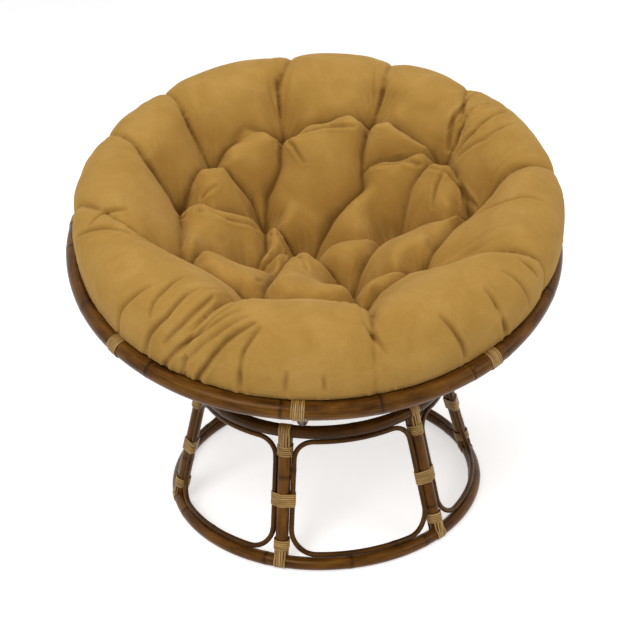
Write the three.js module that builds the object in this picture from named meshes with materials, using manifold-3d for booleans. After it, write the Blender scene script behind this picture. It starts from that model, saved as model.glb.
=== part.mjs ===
// A papasan chair: a round dish of bent rattan poles that leans on a ring stand, with one deep, tufted
// cushion.
// Lengths are millimetres and angles are degrees. +Z is up and the dish leans towards -Y.
// The origin is on the floor, under the middle of the whole chair's bounding box.
import * as THREE from 'three';
import { mergeVertices } from 'three/addons/utils/BufferGeometryUtils.js';
import Module from 'manifold-3d';

const wasm = await Module();
wasm.setup();

// Clearances between pieces that touch in the real chair
const seatGap = 0.3;
const restGap = 0.6;

// Stand: two pole rings and the legs between them
const standPoleDiameter = 28;
const floorRingRadius = 343;
const seatRingRadius = 267;
const seatRingHeight = 288;
const legCount = 6;
const firstLegAzimuth = -111.2;

// Window hoops: thin canes bent to a rounded frame between two legs
const hoopCaneDiameter = 11;
const hoopCornerRadius = 46;
const hoopEndGap = 0.8;

// Dish: the rim, the ribs under it and the hoops inside the ribs
const rimPoleDiameter = 38;
const rimRadius = 514;
const dishDepth = 329;
const dishLean = 17.6;
const ribCount = 8;
const firstRibAzimuth = -143.5;
const ribPoleDiameter = 18;
const ribTailLength = 16;
const dishHoopDiameter = 16;
const middleHoopPolar = 40;
const bottomHoopPolar = 15;
const slatDiameter = 12;
const slatSpacing = 48;

// Cane bindings: flat strips wound in a steady spiral
const stripThickness = 1.2;
const stripGap = 1;
const rimBindingTurns = 4;
const legBindingTurns = 3;
const rimBindingLength = 28;
const legBindingLength = 24;
const legBindingSetback = 26;
const middleBindingLength = 32;
const middleBindingDrop = 4;

// Cushion: its outline is a circle that lies a little right of and behind the dish's middle
const cushionOverhang = 16;
const cushionShiftRight = 13;
const cushionShiftBack = 37;
const cushionRollRadius = 86;
const cushionRollHeight = 27;
const cushionRollRise = 14;
const cushionCrestHeight = 98;
const cushionCrestFall = 22;
const cushionSeamDepth = 40;
const cushionSeamReach = 36;
const cushionCrown = 92;
const cushionTuftReach = 44;
const cushionCreaseReach = 32;
const cushionRimClearance = 7;
const cushionRibClearance = 4;
const cushionFrontSetback = 8;
const cushionEdgeLift = 5;
const cushionEdgeTuck = 3;
const cushionContactGap = 0.3;
const hoopContactWidth = 42;

// Faces: how finely round things are cut
const legSides = 10;
const ringSides = 10;
const ringSteps = 48;
const rimSteps = 64;
const ribSides = 8;
const hoopSides = 6;
const hoopCornerSteps = 4;
const hoopEdgeSteps = 6;
const dishHoopSides = 8;
const bottomHoopSteps = 32;
const slatSteps = 6;
const stripStepsPerTurn = 8;

// Colours of the finished materials
const poleFinish = { color: 0x5b3a20, roughness: 0.35, metalness: 0 };
const darkPoleFinish = { color: 0x4c2f1b, roughness: 0.4, metalness: 0 };
const hoopFinish = { color: 0x543620, roughness: 0.4, metalness: 0 };
const caneFinish = { color: 0xa8803f, roughness: 0.55, metalness: 0 };
const cushionFinish = { color: 0xb38c4a, roughness: 0.95, metalness: 0 };

// Sizes that follow from the driving ones
const standPoleRadius = standPoleDiameter / 2;
const hoopCaneRadius = hoopCaneDiameter / 2;
const rimPoleRadius = rimPoleDiameter / 2;
const ribPoleRadius = ribPoleDiameter / 2;
const dishHoopRadius = dishHoopDiameter / 2;
const slatRadius = slatDiameter / 2;
const fullTurn = 2 * Math.PI;
const floorRingHeight = standPoleRadius * Math.cos(Math.PI / ringSides);

// The ribs' centrelines lie on a sphere through the rim's centreline and the bottom of the dish
const ribSphereRadius = (rimRadius ** 2 + dishDepth ** 2) / (2 * dishDepth);
const sphereRise = ribSphereRadius - dishDepth;
const rimPolar = THREE.MathUtils.radToDeg(Math.atan2(rimRadius, sphereRise));
const innerSphereRadius = ribSphereRadius - ribPoleRadius - seatGap - dishHoopRadius;
const cushionSphereRadius = innerSphereRadius - dishHoopRadius - cushionContactGap;

// The sphere's centre stands over the stand's axis, so the ribs touch the seat ring at any tilt
const contactRadius = ribSphereRadius + ribPoleRadius + restGap + standPoleRadius;
const sphereCentreHeight = seatRingHeight + Math.sqrt(contactRadius ** 2 - seatRingRadius ** 2);

// Small helpers for directions and places

function radians(degrees) {
  return THREE.MathUtils.degToRad(degrees);
}

function around(azimuth, radius, height) {
  return new THREE.Vector3(radius * Math.cos(azimuth), radius * Math.sin(azimuth), height);
}

// A place in the dish's own frame, on a sphere about the ribs' centre
function onSphere(azimuth, polar, radius) {
  return around(azimuth, radius * Math.sin(polar), sphereRise - radius * Math.cos(polar));
}

// Solids: geometry with its shared vertices merged and its faces turned outwards

function signedVolume(geometry) {
  const place = geometry.attributes.position;
  const corner = [new THREE.Vector3(), new THREE.Vector3(), new THREE.Vector3()];
  let total = 0;
  for (let i = 0; i < geometry.index.count; i += 3) {
    corner.forEach((point, k) => point.fromBufferAttribute(place, geometry.index.getX(i + k)));
    total += corner[0].dot(corner[1].cross(corner[2])) / 6;
  }
  return total;
}

function closed(source) {
  const bare = source.clone();
  bare.deleteAttribute('normal');
  bare.deleteAttribute('uv');
  const merged = mergeVertices(bare);
  const faces = [];
  for (let i = 0; i < merged.index.count; i += 3) {
    const [a, b, c] = [0, 1, 2].map((k) => merged.index.getX(i + k));
    if (a !== b && b !== c && c !== a) {
      faces.push([a, b, c]);
    }
  }
  merged.setIndex(faces.flat());
  if (signedVolume(merged) < 0) {
    merged.setIndex(faces.map(([a, b, c]) => [a, c, b]).flat());
  }
  return merged;
}

function solidOf(geometry) {
  const shape = closed(geometry);
  const vertProperties = new Float32Array(shape.attributes.position.array);
  const triVerts = new Uint32Array(shape.index.array);
  return new wasm.Manifold(new wasm.Mesh({ numProp: 3, vertProperties, triVerts }));
}

function geometryOf(solid) {
  const mesh = solid.getMesh();
  const geometry = new THREE.BufferGeometry();
  geometry.setAttribute('position', new THREE.BufferAttribute(mesh.vertProperties, mesh.numProp));
  geometry.setIndex(new THREE.BufferAttribute(mesh.triVerts, 1));
  return geometry;
}

function cut(geometry, ...cutters) {
  const solid = cutters.reduce((left, cutter) => left.subtract(solidOf(cutter)), solidOf(geometry));
  return geometryOf(solid);
}

// Poles: a round section as a polygon, straight, bent along a route, or closed to a ring

function roundSection(radius, sides) {
  const corners = [];
  for (let i = 0; i < sides; i += 1) {
    const angle = (fullTurn * i) / sides;
    corners.push(new THREE.Vector2(radius * Math.cos(angle), radius * Math.sin(angle)));
  }
  return new THREE.Shape(corners);
}

// A route through given points, one step to a point
class Route extends THREE.Curve {
  constructor(points) {
    super();
    this.points = points;
  }

  getPoint(t, target = new THREE.Vector3()) {
    const place = t * (this.points.length - 1);
    const index = Math.min(Math.floor(place), this.points.length - 2);
    return target.lerpVectors(this.points[index], this.points[index + 1], place - index);
  }

  getUtoTmapping(u) {
    return u;
  }
}

function bentPole(points, radius, sides) {
  return new THREE.ExtrudeGeometry(roundSection(radius, sides), {
    steps: points.length - 1,
    bevelEnabled: false,
    extrudePath: new Route(points),
  });
}

function straightPole(start, end, radius, sides) {
  const axis = end.clone().sub(start);
  const pole = new THREE.CylinderGeometry(radius, radius, axis.length(), sides);
  const cylinderAxis = new THREE.Vector3(0, 1, 0);
  pole.applyQuaternion(new THREE.Quaternion().setFromUnitVectors(cylinderAxis, axis.clone().normalize()));
  const middle = start.clone().lerp(end, 0.5);
  pole.translate(middle.x, middle.y, middle.z);
  return pole;
}

// A ring about Z. Its section has a flat side at the angle sectionTurn, and a step starts at firstAzimuth.
function poleRing(ring) {
  const { radius, height, poleRadius, steps, sides, firstAzimuth, sectionTurn = -Math.PI / 2 } = ring;
  const profile = [];
  for (let i = 0; i <= sides; i += 1) {
    const angle = sectionTurn + (fullTurn * ((i % sides) + 0.5)) / sides;
    profile.push(new THREE.Vector2(radius + poleRadius * Math.cos(angle), poleRadius * Math.sin(angle)));
  }
  const lathe = new THREE.LatheGeometry(profile, steps);
  lathe.rotateX(Math.PI / 2);
  lathe.rotateZ(radians(firstAzimuth) + Math.PI / 2);
  lathe.translate(0, 0, height);
  return lathe;
}

// The same ring, wide enough to cut a seat that keeps a gap to it
function ringCutter(ring, gap) {
  return poleRing({ ...ring, poleRadius: (ring.poleRadius + gap) / Math.cos(Math.PI / ring.sides) });
}

function piece(name, geometry, finish) {
  const mesh = new THREE.Mesh(closed(geometry), new THREE.MeshStandardMaterial(finish));
  mesh.name = name;
  return mesh;
}

// Bindings: a strip wound round a hull of poles. The hull is given by its support, the distance of its
// tangent line in each direction, and the strip turns where neighbouring tangent lines meet.

function hullCorners(directions, support) {
  return directions.map((angle, i) => {
    const next = directions[(i + 1) % directions.length];
    const determinant = Math.sin(next - angle);
    const here = support(angle);
    const there = support(next);
    return new THREE.Vector2(
      (here * Math.sin(next) - there * Math.sin(angle)) / determinant,
      (there * Math.cos(angle) - here * Math.cos(next)) / determinant,
    );
  });
}

// frameAt(s) gives the pole's centre and its side, out and along directions at the length s
function bindingRoute(binding) {
  const { directions, support, frameAt, length, stripWidth, turns } = binding;
  const corners = hullCorners(directions, support);
  const count = corners.length;
  const climb = length - stripWidth;
  const places = [corners[count - 1].clone().lerp(corners[0], 0.5)];
  for (let i = 0; i < turns * count; i += 1) {
    places.push(corners[i % count]);
  }
  places.push(corners[count - 1].clone().lerp(corners[0], 0.5));
  return places.map((place, i) => {
    const along = climb * (i / (places.length - 1) - 0.5);
    const frame = frameAt(along);
    const point = frame.centre.clone();
    point.addScaledVector(frame.side, place.x).addScaledVector(frame.out, place.y);
    return { point, frame };
  });
}

// The four corners of a strip's section: along the pole, then away from it
const stripCorners = [[-1, -1], [1, -1], [1, 1], [-1, 1]];

function boundStrip(binding) {
  const route = bindingRoute(binding);
  const { stripWidth } = binding;
  const positions = [];
  const faces = [];
  route.forEach(({ point, frame }, i) => {
    const before = route[Math.max(i - 1, 0)].point;
    const after = route[Math.min(i + 1, route.length - 1)].point;
    const arriving = point.clone().sub(before);
    const leaving = after.clone().sub(point);
    const arrivingDirection = (i === 0 ? leaving : arriving).clone().normalize();
    const leavingDirection = (i === route.length - 1 ? arriving : leaving).clone().normalize();
    const heading = arrivingDirection.clone().add(leavingDirection).normalize();
    const outward = heading.clone().cross(frame.along).normalize();
    const mitre = 1 / heading.dot(leavingDirection);
    for (const [along, out] of stripCorners) {
      const corner = point.clone().addScaledVector(frame.along, (along * stripWidth) / 2);
      corner.addScaledVector(outward, (out * mitre * stripThickness) / 2);
      positions.push(corner.x, corner.y, corner.z);
    }
    if (i > 0) {
      const here = stripCorners.length * i;
      const earlier = here - stripCorners.length;
      for (let k = 0; k < stripCorners.length; k += 1) {
        const next = (k + 1) % stripCorners.length;
        faces.push(earlier + k, earlier + next, here + next);
        faces.push(earlier + k, here + next, here + k);
      }
    }
  });
  const last = positions.length / 3 - stripCorners.length;
  faces.push(0, 2, 1, 0, 3, 2);
  faces.push(last, last + 1, last + 2, last, last + 2, last + 3);
  const strip = new THREE.BufferGeometry();
  strip.setAttribute('position', new THREE.Float32BufferAttribute(positions, 3));
  strip.setIndex(faces);
  return strip;
}

// The least gap of a wound strip to itself, measured on points along its route
function leastStripGap(binding) {
  const samplesPerStep = 6;
  const route = bindingRoute(binding);
  const halfTurn = (binding.directions.length * samplesPerStep) / 2;
  const samples = [];
  for (let i = 1; i < route.length; i += 1) {
    for (let k = 0; k < samplesPerStep; k += 1) {
      samples.push(route[i - 1].point.clone().lerp(route[i].point, k / samplesPerStep));
    }
  }
  let least = Infinity;
  samples.forEach((point, i) => {
    for (let k = i + halfTurn; k < samples.length; k += 1) {
      least = Math.min(least, point.distanceTo(samples[k]));
    }
  });
  return least - binding.stripWidth;
}

function stripWidthFor(length, turns) {
  return (length + stripGap) / (turns + 1) - stripGap;
}

const stripSteps = Array.from({ length: stripStepsPerTurn }, (_, i) => i);
const evenDirections = stripSteps.map((i) => (fullTurn * i) / stripStepsPerTurn);

// Stand

const stand = new THREE.Group();

const floorRing = {
  radius: floorRingRadius,
  height: floorRingHeight,
  poleRadius: standPoleRadius,
  steps: ringSteps,
  sides: ringSides,
  firstAzimuth: firstLegAzimuth,
};
const seatRing = { ...floorRing, radius: seatRingRadius, height: seatRingHeight };
stand.add(piece('floor_ring', poleRing(floorRing), poleFinish));
stand.add(piece('seat_ring', poleRing(seatRing), darkPoleFinish));

// The legs and hoops lie on a cone through both rings' centrelines
const legDrop = seatRingHeight - floorRingHeight;
const legSpread = floorRingRadius - seatRingRadius;
const slantLength = Math.hypot(legDrop, legSpread);
const legPitch = fullTurn / legCount;

function coneRadius(slant) {
  return floorRingRadius - (legSpread * slant) / slantLength;
}

function onCone(azimuth, slant) {
  return around(azimuth, coneRadius(slant), floorRingHeight + (legDrop * slant) / slantLength);
}

// Directions at a leg: side runs round the stand, out points away from it, along runs up the leg
function legFrame(azimuth, slant) {
  const centre = onCone(azimuth, slant);
  const along = onCone(azimuth, slantLength).sub(onCone(azimuth, 0)).normalize();
  const side = around(azimuth + Math.PI / 2, 1, 0);
  const out = side.clone().cross(along).normalize();
  return { centre, along, side, out };
}

// A hoop keeps the same distance to the legs beside it and to the rings above and below it
const hoopSetback = standPoleRadius + seatGap + hoopCaneRadius;

function hoopHalfWidth(slant) {
  const radius = coneRadius(slant);
  return radius * (legPitch / 2 - Math.asin(hoopSetback / radius));
}

// The hoop's outline on the unrolled cone: across is measured round the stand and slant up it
function hoopOutline() {
  const low = hoopSetback + seatGap;
  const high = slantLength - hoopSetback - seatGap;
  const lean = (hoopHalfWidth(low) - hoopHalfWidth(high)) / (high - low);
  const sideAngle = Math.atan(lean);
  const lowTurn = Math.PI / 2 + sideAngle;
  const highTurn = Math.PI / 2 - sideAngle;
  const lowReach = hoopCornerRadius * Math.tan(lowTurn / 2);
  const highReach = hoopCornerRadius * Math.tan(highTurn / 2);
  const places = [];
  function arc(middle, startAngle, turn) {
    for (let i = 0; i <= hoopCornerSteps; i += 1) {
      const angle = startAngle + (turn * i) / hoopCornerSteps;
      places.push({
        across: middle.across + hoopCornerRadius * Math.cos(angle),
        slant: middle.slant + hoopCornerRadius * Math.sin(angle),
      });
    }
  }
  function edge(slant, from, to) {
    for (let i = 1; i < hoopEdgeSteps; i += 1) {
      places.push({ across: from + ((to - from) * i) / hoopEdgeSteps, slant });
    }
  }
  const lowMiddle = { across: hoopHalfWidth(low) - lowReach, slant: low + hoopCornerRadius };
  const highMiddle = { across: hoopHalfWidth(high) - highReach, slant: high - hoopCornerRadius };
  const seam = (low + high) / 2;
  places.push({ across: hoopHalfWidth(seam), slant: seam + hoopEndGap / 2 });
  arc(highMiddle, sideAngle, highTurn);
  edge(high, highMiddle.across, -highMiddle.across);
  arc({ ...highMiddle, across: -highMiddle.across }, Math.PI / 2, highTurn);
  places.push({ across: -hoopHalfWidth(seam), slant: seam });
  arc({ ...lowMiddle, across: -lowMiddle.across }, Math.PI - sideAngle, lowTurn);
  edge(low, -lowMiddle.across, lowMiddle.across);
  arc(lowMiddle, -Math.PI / 2, lowTurn);
  places.push({ across: hoopHalfWidth(seam), slant: seam - hoopEndGap / 2 });
  return places;
}

const hoopPlaces = hoopOutline();

function windowHoop(middleAzimuth) {
  const points = hoopPlaces.map(({ across, slant }) => {
    return onCone(middleAzimuth + across / coneRadius(slant), slant);
  });
  return bentPole(points, hoopCaneRadius, hoopSides);
}

// Round a leg alone, and round a leg with a hoop cane on each side
const stripSeat = seatGap + stripThickness / 2;

function legSupport() {
  return standPoleRadius + stripSeat;
}

// The hoop canes follow the cone, so beside a leg they lie a little inside the leg's own plane
const hoopInset = hoopSetback ** 2 / (2 * seatRingRadius);

function threePoleSupport(angle) {
  const inwards = Math.max(-Math.sin(angle), 0);
  const cane = hoopSetback * Math.abs(Math.cos(angle)) + hoopInset * inwards + hoopCaneRadius;
  return Math.max(standPoleRadius, cane) + stripSeat;
}

const slopeDirection = Math.acos((standPoleRadius - hoopCaneRadius) / hoopSetback);
const threePoleDirections = [
  0,
  slopeDirection / 2,
  slopeDirection,
  Math.PI - slopeDirection,
  Math.PI - slopeDirection / 2,
  Math.PI,
  Math.PI + slopeDirection / 2,
  Math.PI + slopeDirection,
  fullTurn - slopeDirection,
  fullTurn - slopeDirection / 2,
];

function legBinding(azimuth, middleSlant, length, hull) {
  return {
    length,
    turns: legBindingTurns,
    stripWidth: stripWidthFor(length, legBindingTurns),
    ...hull,
    frameAt: (along) => legFrame(azimuth, middleSlant + along),
  };
}

const lowerBindingSlant = legBindingSetback + legBindingLength / 2;
const upperBindingSlant = slantLength - lowerBindingSlant;
const middleBindingSlant = slantLength / 2 - middleBindingDrop;
const legHull = { directions: evenDirections, support: legSupport };
const threePoleHull = { directions: threePoleDirections, support: threePoleSupport };
const bindingsToMeasure = [];

for (let i = 0; i < legCount; i += 1) {
  const azimuth = radians(firstLegAzimuth) + legPitch * i;
  const number = i + 1;
  const pole = straightPole(onCone(azimuth, 0), onCone(azimuth, slantLength), standPoleRadius, legSides);
  const leg = cut(pole, ringCutter(floorRing, seatGap), ringCutter(seatRing, seatGap));
  stand.add(piece(`leg_${number}`, leg, poleFinish));
  stand.add(piece(`window_hoop_${number}`, windowHoop(azimuth + legPitch / 2), hoopFinish));
  const places = {
    lower: legBinding(azimuth, lowerBindingSlant, legBindingLength, legHull),
    middle: legBinding(azimuth, middleBindingSlant, middleBindingLength, threePoleHull),
    upper: legBinding(azimuth, upperBindingSlant, legBindingLength, legHull),
  };
  for (const [place, binding] of Object.entries(places)) {
    stand.add(piece(`${place}_binding_${number}`, boundStrip(binding), caneFinish));
    bindingsToMeasure.push(binding);
  }
}

// Dish, in its own frame: the rim's centreline is in the plane z = 0 and the ribs hang below it

const dish = new THREE.Group();
const rimRing = {
  radius: rimRadius,
  height: 0,
  poleRadius: rimPoleRadius,
  steps: rimSteps,
  sides: ringSides,
  firstAzimuth: firstRibAzimuth,
};
dish.add(piece('rim', poleRing(rimRing), poleFinish));

// The rim binding's strip lies on the rim's facets, and a rib's end is cut flat to seat on the strip
const rimFacetSag = rimRadius * (1 - Math.cos(Math.PI / rimSteps));
const rimStripSupport = rimPoleRadius + rimFacetSag + stripSeat;
const ribArrival = Math.PI + radians(rimPolar);
const ribSeatCutter = ringCutter({
  ...rimRing,
  poleRadius: rimStripSupport + stripThickness / 2,
  sides: stripStepsPerTurn,
  sectionTurn: ribArrival,
}, seatGap);

const ribEndPolar = bottomHoopPolar - THREE.MathUtils.radToDeg(ribTailLength / ribSphereRadius);

function evenSteps(from, to, longestStep) {
  const count = Math.max(1, Math.round(Math.abs(to - from) / longestStep));
  return Array.from({ length: count }, (_, i) => from + ((to - from) * i) / count);
}

const ribStepPolar = 5;
const ribPolars = [
  ribEndPolar,
  ...evenSteps(bottomHoopPolar, middleHoopPolar, ribStepPolar),
  ...evenSteps(middleHoopPolar, rimPolar, ribStepPolar),
  rimPolar,
];

function rib(azimuth) {
  const points = ribPolars.map((polar) => onSphere(azimuth, radians(polar), ribSphereRadius));
  return cut(bentPole(points, ribPoleRadius, ribSides), ribSeatCutter);
}

function rimFrame(azimuth, along) {
  const here = azimuth + along / rimRadius;
  return {
    centre: around(here, rimRadius, 0),
    side: around(here, 1, 0),
    out: new THREE.Vector3(0, 0, 1),
    along: around(here + Math.PI / 2, -1, 0),
  };
}

function rimBinding(azimuth) {
  return {
    length: rimBindingLength,
    turns: rimBindingTurns,
    stripWidth: stripWidthFor(rimBindingLength, rimBindingTurns),
    directions: evenDirections.map((angle) => angle + ribArrival),
    support: () => rimStripSupport,
    frameAt: (along) => rimFrame(azimuth, along),
  };
}

for (let i = 0; i < ribCount; i += 1) {
  const azimuth = radians(firstRibAzimuth) + (fullTurn * i) / ribCount;
  const binding = rimBinding(azimuth);
  dish.add(piece(`rib_${i + 1}`, rib(azimuth), darkPoleFinish));
  dish.add(piece(`rim_binding_${i + 1}`, boundStrip(binding), caneFinish));
  bindingsToMeasure.push(binding);
}

// Hoops inside the ribs, and the slats across the bottom hoop

function dishHoop(polar, steps) {
  const middle = onSphere(0, radians(polar), innerSphereRadius);
  return {
    radius: middle.x,
    height: middle.z,
    poleRadius: dishHoopRadius,
    steps,
    sides: dishHoopSides,
    firstAzimuth: firstRibAzimuth,
    sectionTurn: radians(polar) - Math.PI / 2,
  };
}

const middleHoop = dishHoop(middleHoopPolar, ringSteps);
const bottomHoop = dishHoop(bottomHoopPolar, bottomHoopSteps);
dish.add(piece('middle_hoop', poleRing(middleHoop), darkPoleFinish));
dish.add(piece('bottom_hoop', poleRing(bottomHoop), darkPoleFinish));

function slat(offset) {
  const arcRadius = Math.sqrt(innerSphereRadius ** 2 - offset ** 2);
  const reach = Math.sqrt(bottomHoop.radius ** 2 - offset ** 2);
  const points = [];
  for (let i = 0; i <= slatSteps; i += 1) {
    const across = reach * ((2 * i) / slatSteps - 1);
    points.push(new THREE.Vector3(offset, across, sphereRise - Math.sqrt(arcRadius ** 2 - across ** 2)));
  }
  return cut(bentPole(points, slatRadius, dishHoopSides), ringCutter(bottomHoop, seatGap));
}

const slatOffsets = { slat_left: -slatSpacing, slat_centre: 0, slat_right: slatSpacing };
for (const [name, offset] of Object.entries(slatOffsets)) {
  dish.add(piece(name, slat(offset), darkPoleFinish));
}

// Cushion. Each tuft's place is given in shares of the rim's radius: right, back and up from the rim's
// plane. The outer tufts go once round, starting behind on the right, and a seam runs from each to the edge.

const cushionRadius = rimRadius + cushionOverhang;
const tuftShares = {
  backRight: [0.329, 0.658, 0.035],
  backMiddle: [-0.078, 0.687, -0.029],
  backLeft: [-0.422, 0.533, -0.049],
  leftBack: [-0.570, 0.307, -0.107],
  leftFront: [-0.562, -0.161, -0.054],
  frontLeft: [-0.257, -0.447, -0.054],
  frontMiddle: [0.126, -0.496, -0.054],
  frontRight: [0.409, -0.276, -0.054],
  rightFront: [0.698, 0.074, -0.068],
  rightBack: [0.621, 0.387, 0],
  innerBack: [-0.196, 0.354, -0.282],
  innerLeft: [-0.286, -0.002, -0.288],
  innerFront: [0.128, -0.179, -0.276],
  innerRight: [0.370, 0.165, -0.302],
  middle: [-0.019, 0.195, -0.379],
};

// The azimuth at which the seam of each outer tuft passes over the edge
const seamEdgeAzimuths = {
  backRight: 64,
  backMiddle: 92,
  backLeft: 130,
  leftBack: 152,
  leftFront: 181,
  frontLeft: 237,
  frontMiddle: 276,
  frontRight: 325,
  rightFront: 361,
  rightBack: 401,
};

// Creases, in the same shares, and how far each is drawn in. From each outer tuft one runs through its bends
// to an inner stop, which is a tuft or a bend of its own, and from each inner stop one runs to the middle.
const outerCreases = {
  backRight: { pull: 0.85, bends: [], end: 'backBend' },
  backMiddle: { pull: 0.85, bends: [[-0.111, 0.532], [-0.177, 0.466]], end: 'innerBack' },
  backLeft: { pull: 0.8, bends: [[-0.321, 0.454], [-0.247, 0.441]], end: 'innerBack' },
  leftBack: { pull: 0.5, bends: [[-0.419, 0.244]], end: 'innerBack' },
  leftFront: { pull: 0.75, bends: [[-0.431, -0.017], [-0.32, -0.015]], end: 'innerLeft' },
  frontLeft: { pull: 0.6, bends: [], end: 'frontBend' },
  frontMiddle: { pull: 0.8, bends: [[0.127, -0.338]], end: 'innerFront' },
  frontRight: { pull: 0.75, bends: [[0.303, -0.282]], end: 'innerFront' },
  rightFront: { pull: 0.8, bends: [[0.566, 0.034], [0.479, 0.123]], end: 'innerRight' },
  rightBack: { pull: 0.6, bends: [[0.456, 0.292]], end: 'innerRight' },
};
const bendShares = {
  backBend: [0.252, 0.388],
  frontBend: [-0.172, -0.087],
};
const innerCreases = {
  innerBack: { pull: 0.8, bends: [[-0.113, 0.262]] },
  innerLeft: { pull: 0.7, bends: [[-0.153, 0.097]] },
  innerFront: { pull: 0.8, bends: [[0.098, -0.1], [0.016, 0]] },
  innerRight: { pull: 0.8, bends: [[0.199, 0.131], [0.092, 0.177]] },
  backBend: { pull: 0.85, bends: [[0.109, 0.319]] },
  frontBend: { pull: 0.6, bends: [] },
};
const crossCreases = [
  { pull: 0.8, stops: ['innerBack', [-0.206, 0.136], 'innerLeft'] },
  { pull: 0.8, stops: ['rightBack', [0.47, 0.432], [0.338, 0.455]] },
  { pull: 0.5, stops: ['innerRight', [0.249, -0.007], 'innerFront'] },
];
const outerPullShare = 0.5;
const tuftPullShare = 0.95;

// The plan place of a tuft, a bend with a name, or a bend given by its shares
function planPlace(stop) {
  const share = tuftShares[stop] ?? bendShares[stop] ?? stop;
  return new THREE.Vector2(share[0], share[1]).multiplyScalar(rimRadius);
}

const allTufts = Object.values(tuftShares).map((share) => {
  return new THREE.Vector3(...share).multiplyScalar(rimRadius);
});
const outerNames = Object.keys(outerCreases);
const outerTufts = outerNames.map(planPlace);

// Each straight stretch of a crease, with its share of pull at both ends
const stretches = [];

function addStretch(start, end, startPull, endPull) {
  stretches.push({ start, run: end.clone().sub(start), startPull, endPull });
}

function outerCreaseStops(name) {
  return [name, ...outerCreases[name].bends, outerCreases[name].end];
}

function innerCreaseStops(name) {
  return [name, ...innerCreases[name].bends, 'middle'];
}

const outerLines = outerNames.map((name) => ({ pull: outerCreases[name].pull, stops: outerCreaseStops(name) }));
const innerLines = Object.entries(innerCreases).map(([name, { pull }]) => {
  return { pull, stops: innerCreaseStops(name) };
});
for (const { pull, stops } of [...outerLines, ...innerLines, ...crossCreases]) {
  const places = stops.map(planPlace);
  const pulls = stops.map((stop) => (tuftShares[stop] ? tuftPullShare : pull));
  places.slice(1).forEach((place, i) => addStretch(places[i], place, pulls[i], pulls[i + 1]));
}
outerTufts.forEach((tuft, i) => {
  const next = outerTufts[(i + 1) % outerTufts.length];
  const between = tuft.clone().lerp(next, 0.5);
  addStretch(tuft, between, tuftPullShare, outerPullShare);
  addStretch(between, next, outerPullShare, tuftPullShare);
});

// How much of a tuft's or crease's pull is left at a distance from it
const pullFallPower = 1.5;

function pullLeft(distance, reach) {
  return Math.exp(-((distance / reach) ** pullFallPower));
}

function creasePull(place, { start, run, startPull, endPull }) {
  const off = place.clone().sub(start);
  const share = THREE.MathUtils.clamp(off.dot(run) / run.lengthSq(), 0, 1);
  const distance = off.addScaledVector(run, -share).length();
  return THREE.MathUtils.lerp(startPull, endPull, share) * pullLeft(distance, cushionCreaseReach);
}

// The cushion's top between the tufts: it passes through every tuft and swells away from the creases.
// A tuft's say in the height falls with its distance, and the floor keeps it finite at the tuft itself.
const tuftWeightPower = 3;
const tuftWeightFloor = 1e-6;

function topHeight(place) {
  let weightSum = 0;
  let heightSum = 0;
  let nearestTuft = Infinity;
  for (const tuft of allTufts) {
    const distance = Math.hypot(place.x - tuft.x, place.y - tuft.y);
    const weight = 1 / ((distance / rimRadius) ** tuftWeightPower + tuftWeightFloor);
    nearestTuft = Math.min(nearestTuft, distance);
    weightSum += weight;
    heightSum += weight * tuft.z;
  }
  const tuftPull = pullLeft(nearestTuft, cushionTuftReach);
  const pull = Math.max(tuftPull, ...stretches.map((stretch) => creasePull(place, stretch)));
  return heightSum / weightSum + cushionCrown * (1 - pull);
}

// The underside passes over the rim where the cushion overhangs it, and down the rim's inner side.
// An edge inside the rim's middle line starts at the angle round the rim's section that it reaches.
const overRimRadius = rimPoleRadius + cushionRimClearance;
const rimTopAngle = Math.PI / 2;
const rimWrapShares = [0.25, 1];
const rimWrapEndAngle = radians(165);

function rimWrap(edgeReach) {
  const beyond = edgeReach - rimRadius;
  const startAngle = Math.acos(THREE.MathUtils.clamp(beyond / overRimRadius, -1, 0));
  const section = [{ reach: edgeReach, height: overRimRadius * Math.sin(startAngle) }];
  for (const share of rimWrapShares) {
    const angle = THREE.MathUtils.lerp(Math.max(startAngle, rimTopAngle), rimWrapEndAngle, share);
    section.push({
      reach: rimRadius + overRimRadius * Math.cos(angle),
      height: overRimRadius * Math.sin(angle),
    });
  }
  return section;
}

// Lower down it sags almost to the ribs, and is held up by the two hoops inside them
const sagRadius = ribSphereRadius - ribPoleRadius - cushionRibClearance;
const contactPolar = THREE.MathUtils.radToDeg(hoopContactWidth / 2 / innerSphereRadius);
const undersideRows = [
  { polar: (rimPolar + middleHoopPolar) / 2, radius: sagRadius },
  { polar: middleHoopPolar + contactPolar, radius: cushionSphereRadius },
  { polar: middleHoopPolar - contactPolar, radius: cushionSphereRadius },
  { polar: (middleHoopPolar + bottomHoopPolar) / 2, radius: sagRadius },
  { polar: bottomHoopPolar + contactPolar, radius: cushionSphereRadius },
];

const cushionMiddle = new THREE.Vector2(cushionShiftRight, cushionShiftBack);
const longestSectionStep = radians(6.2);
const innerStopShare = 0.5;
const innerRingShares = [0.13, 0.26, 0.38, 0.5, 0.61, 0.72, 0.82, 0.91, 1];
const rollAngles = [118, 88, 60, 31, 2];
const rollStart = 142;
const rollTurnSteps = 3;
const seamEdgeShare = 0.16;

function direction(azimuth) {
  return new THREE.Vector2(Math.cos(azimuth), Math.sin(azimuth));
}

function sweepBetween(from, to) {
  return (to - from + 2 * fullTurn) % fullTurn;
}

// A place on a line of straight runs, at a share of its whole length
function alongRuns(places, share) {
  const runs = places.slice(1).map((place, i) => place.distanceTo(places[i]));
  let left = share * runs.reduce((sum, run) => sum + run, 0);
  let i = 0;
  while (i < runs.length - 1 && left > runs[i]) {
    left -= runs[i];
    i += 1;
  }
  return places[i].clone().lerp(places[i + 1], Math.min(left / runs[i], 1));
}

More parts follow.
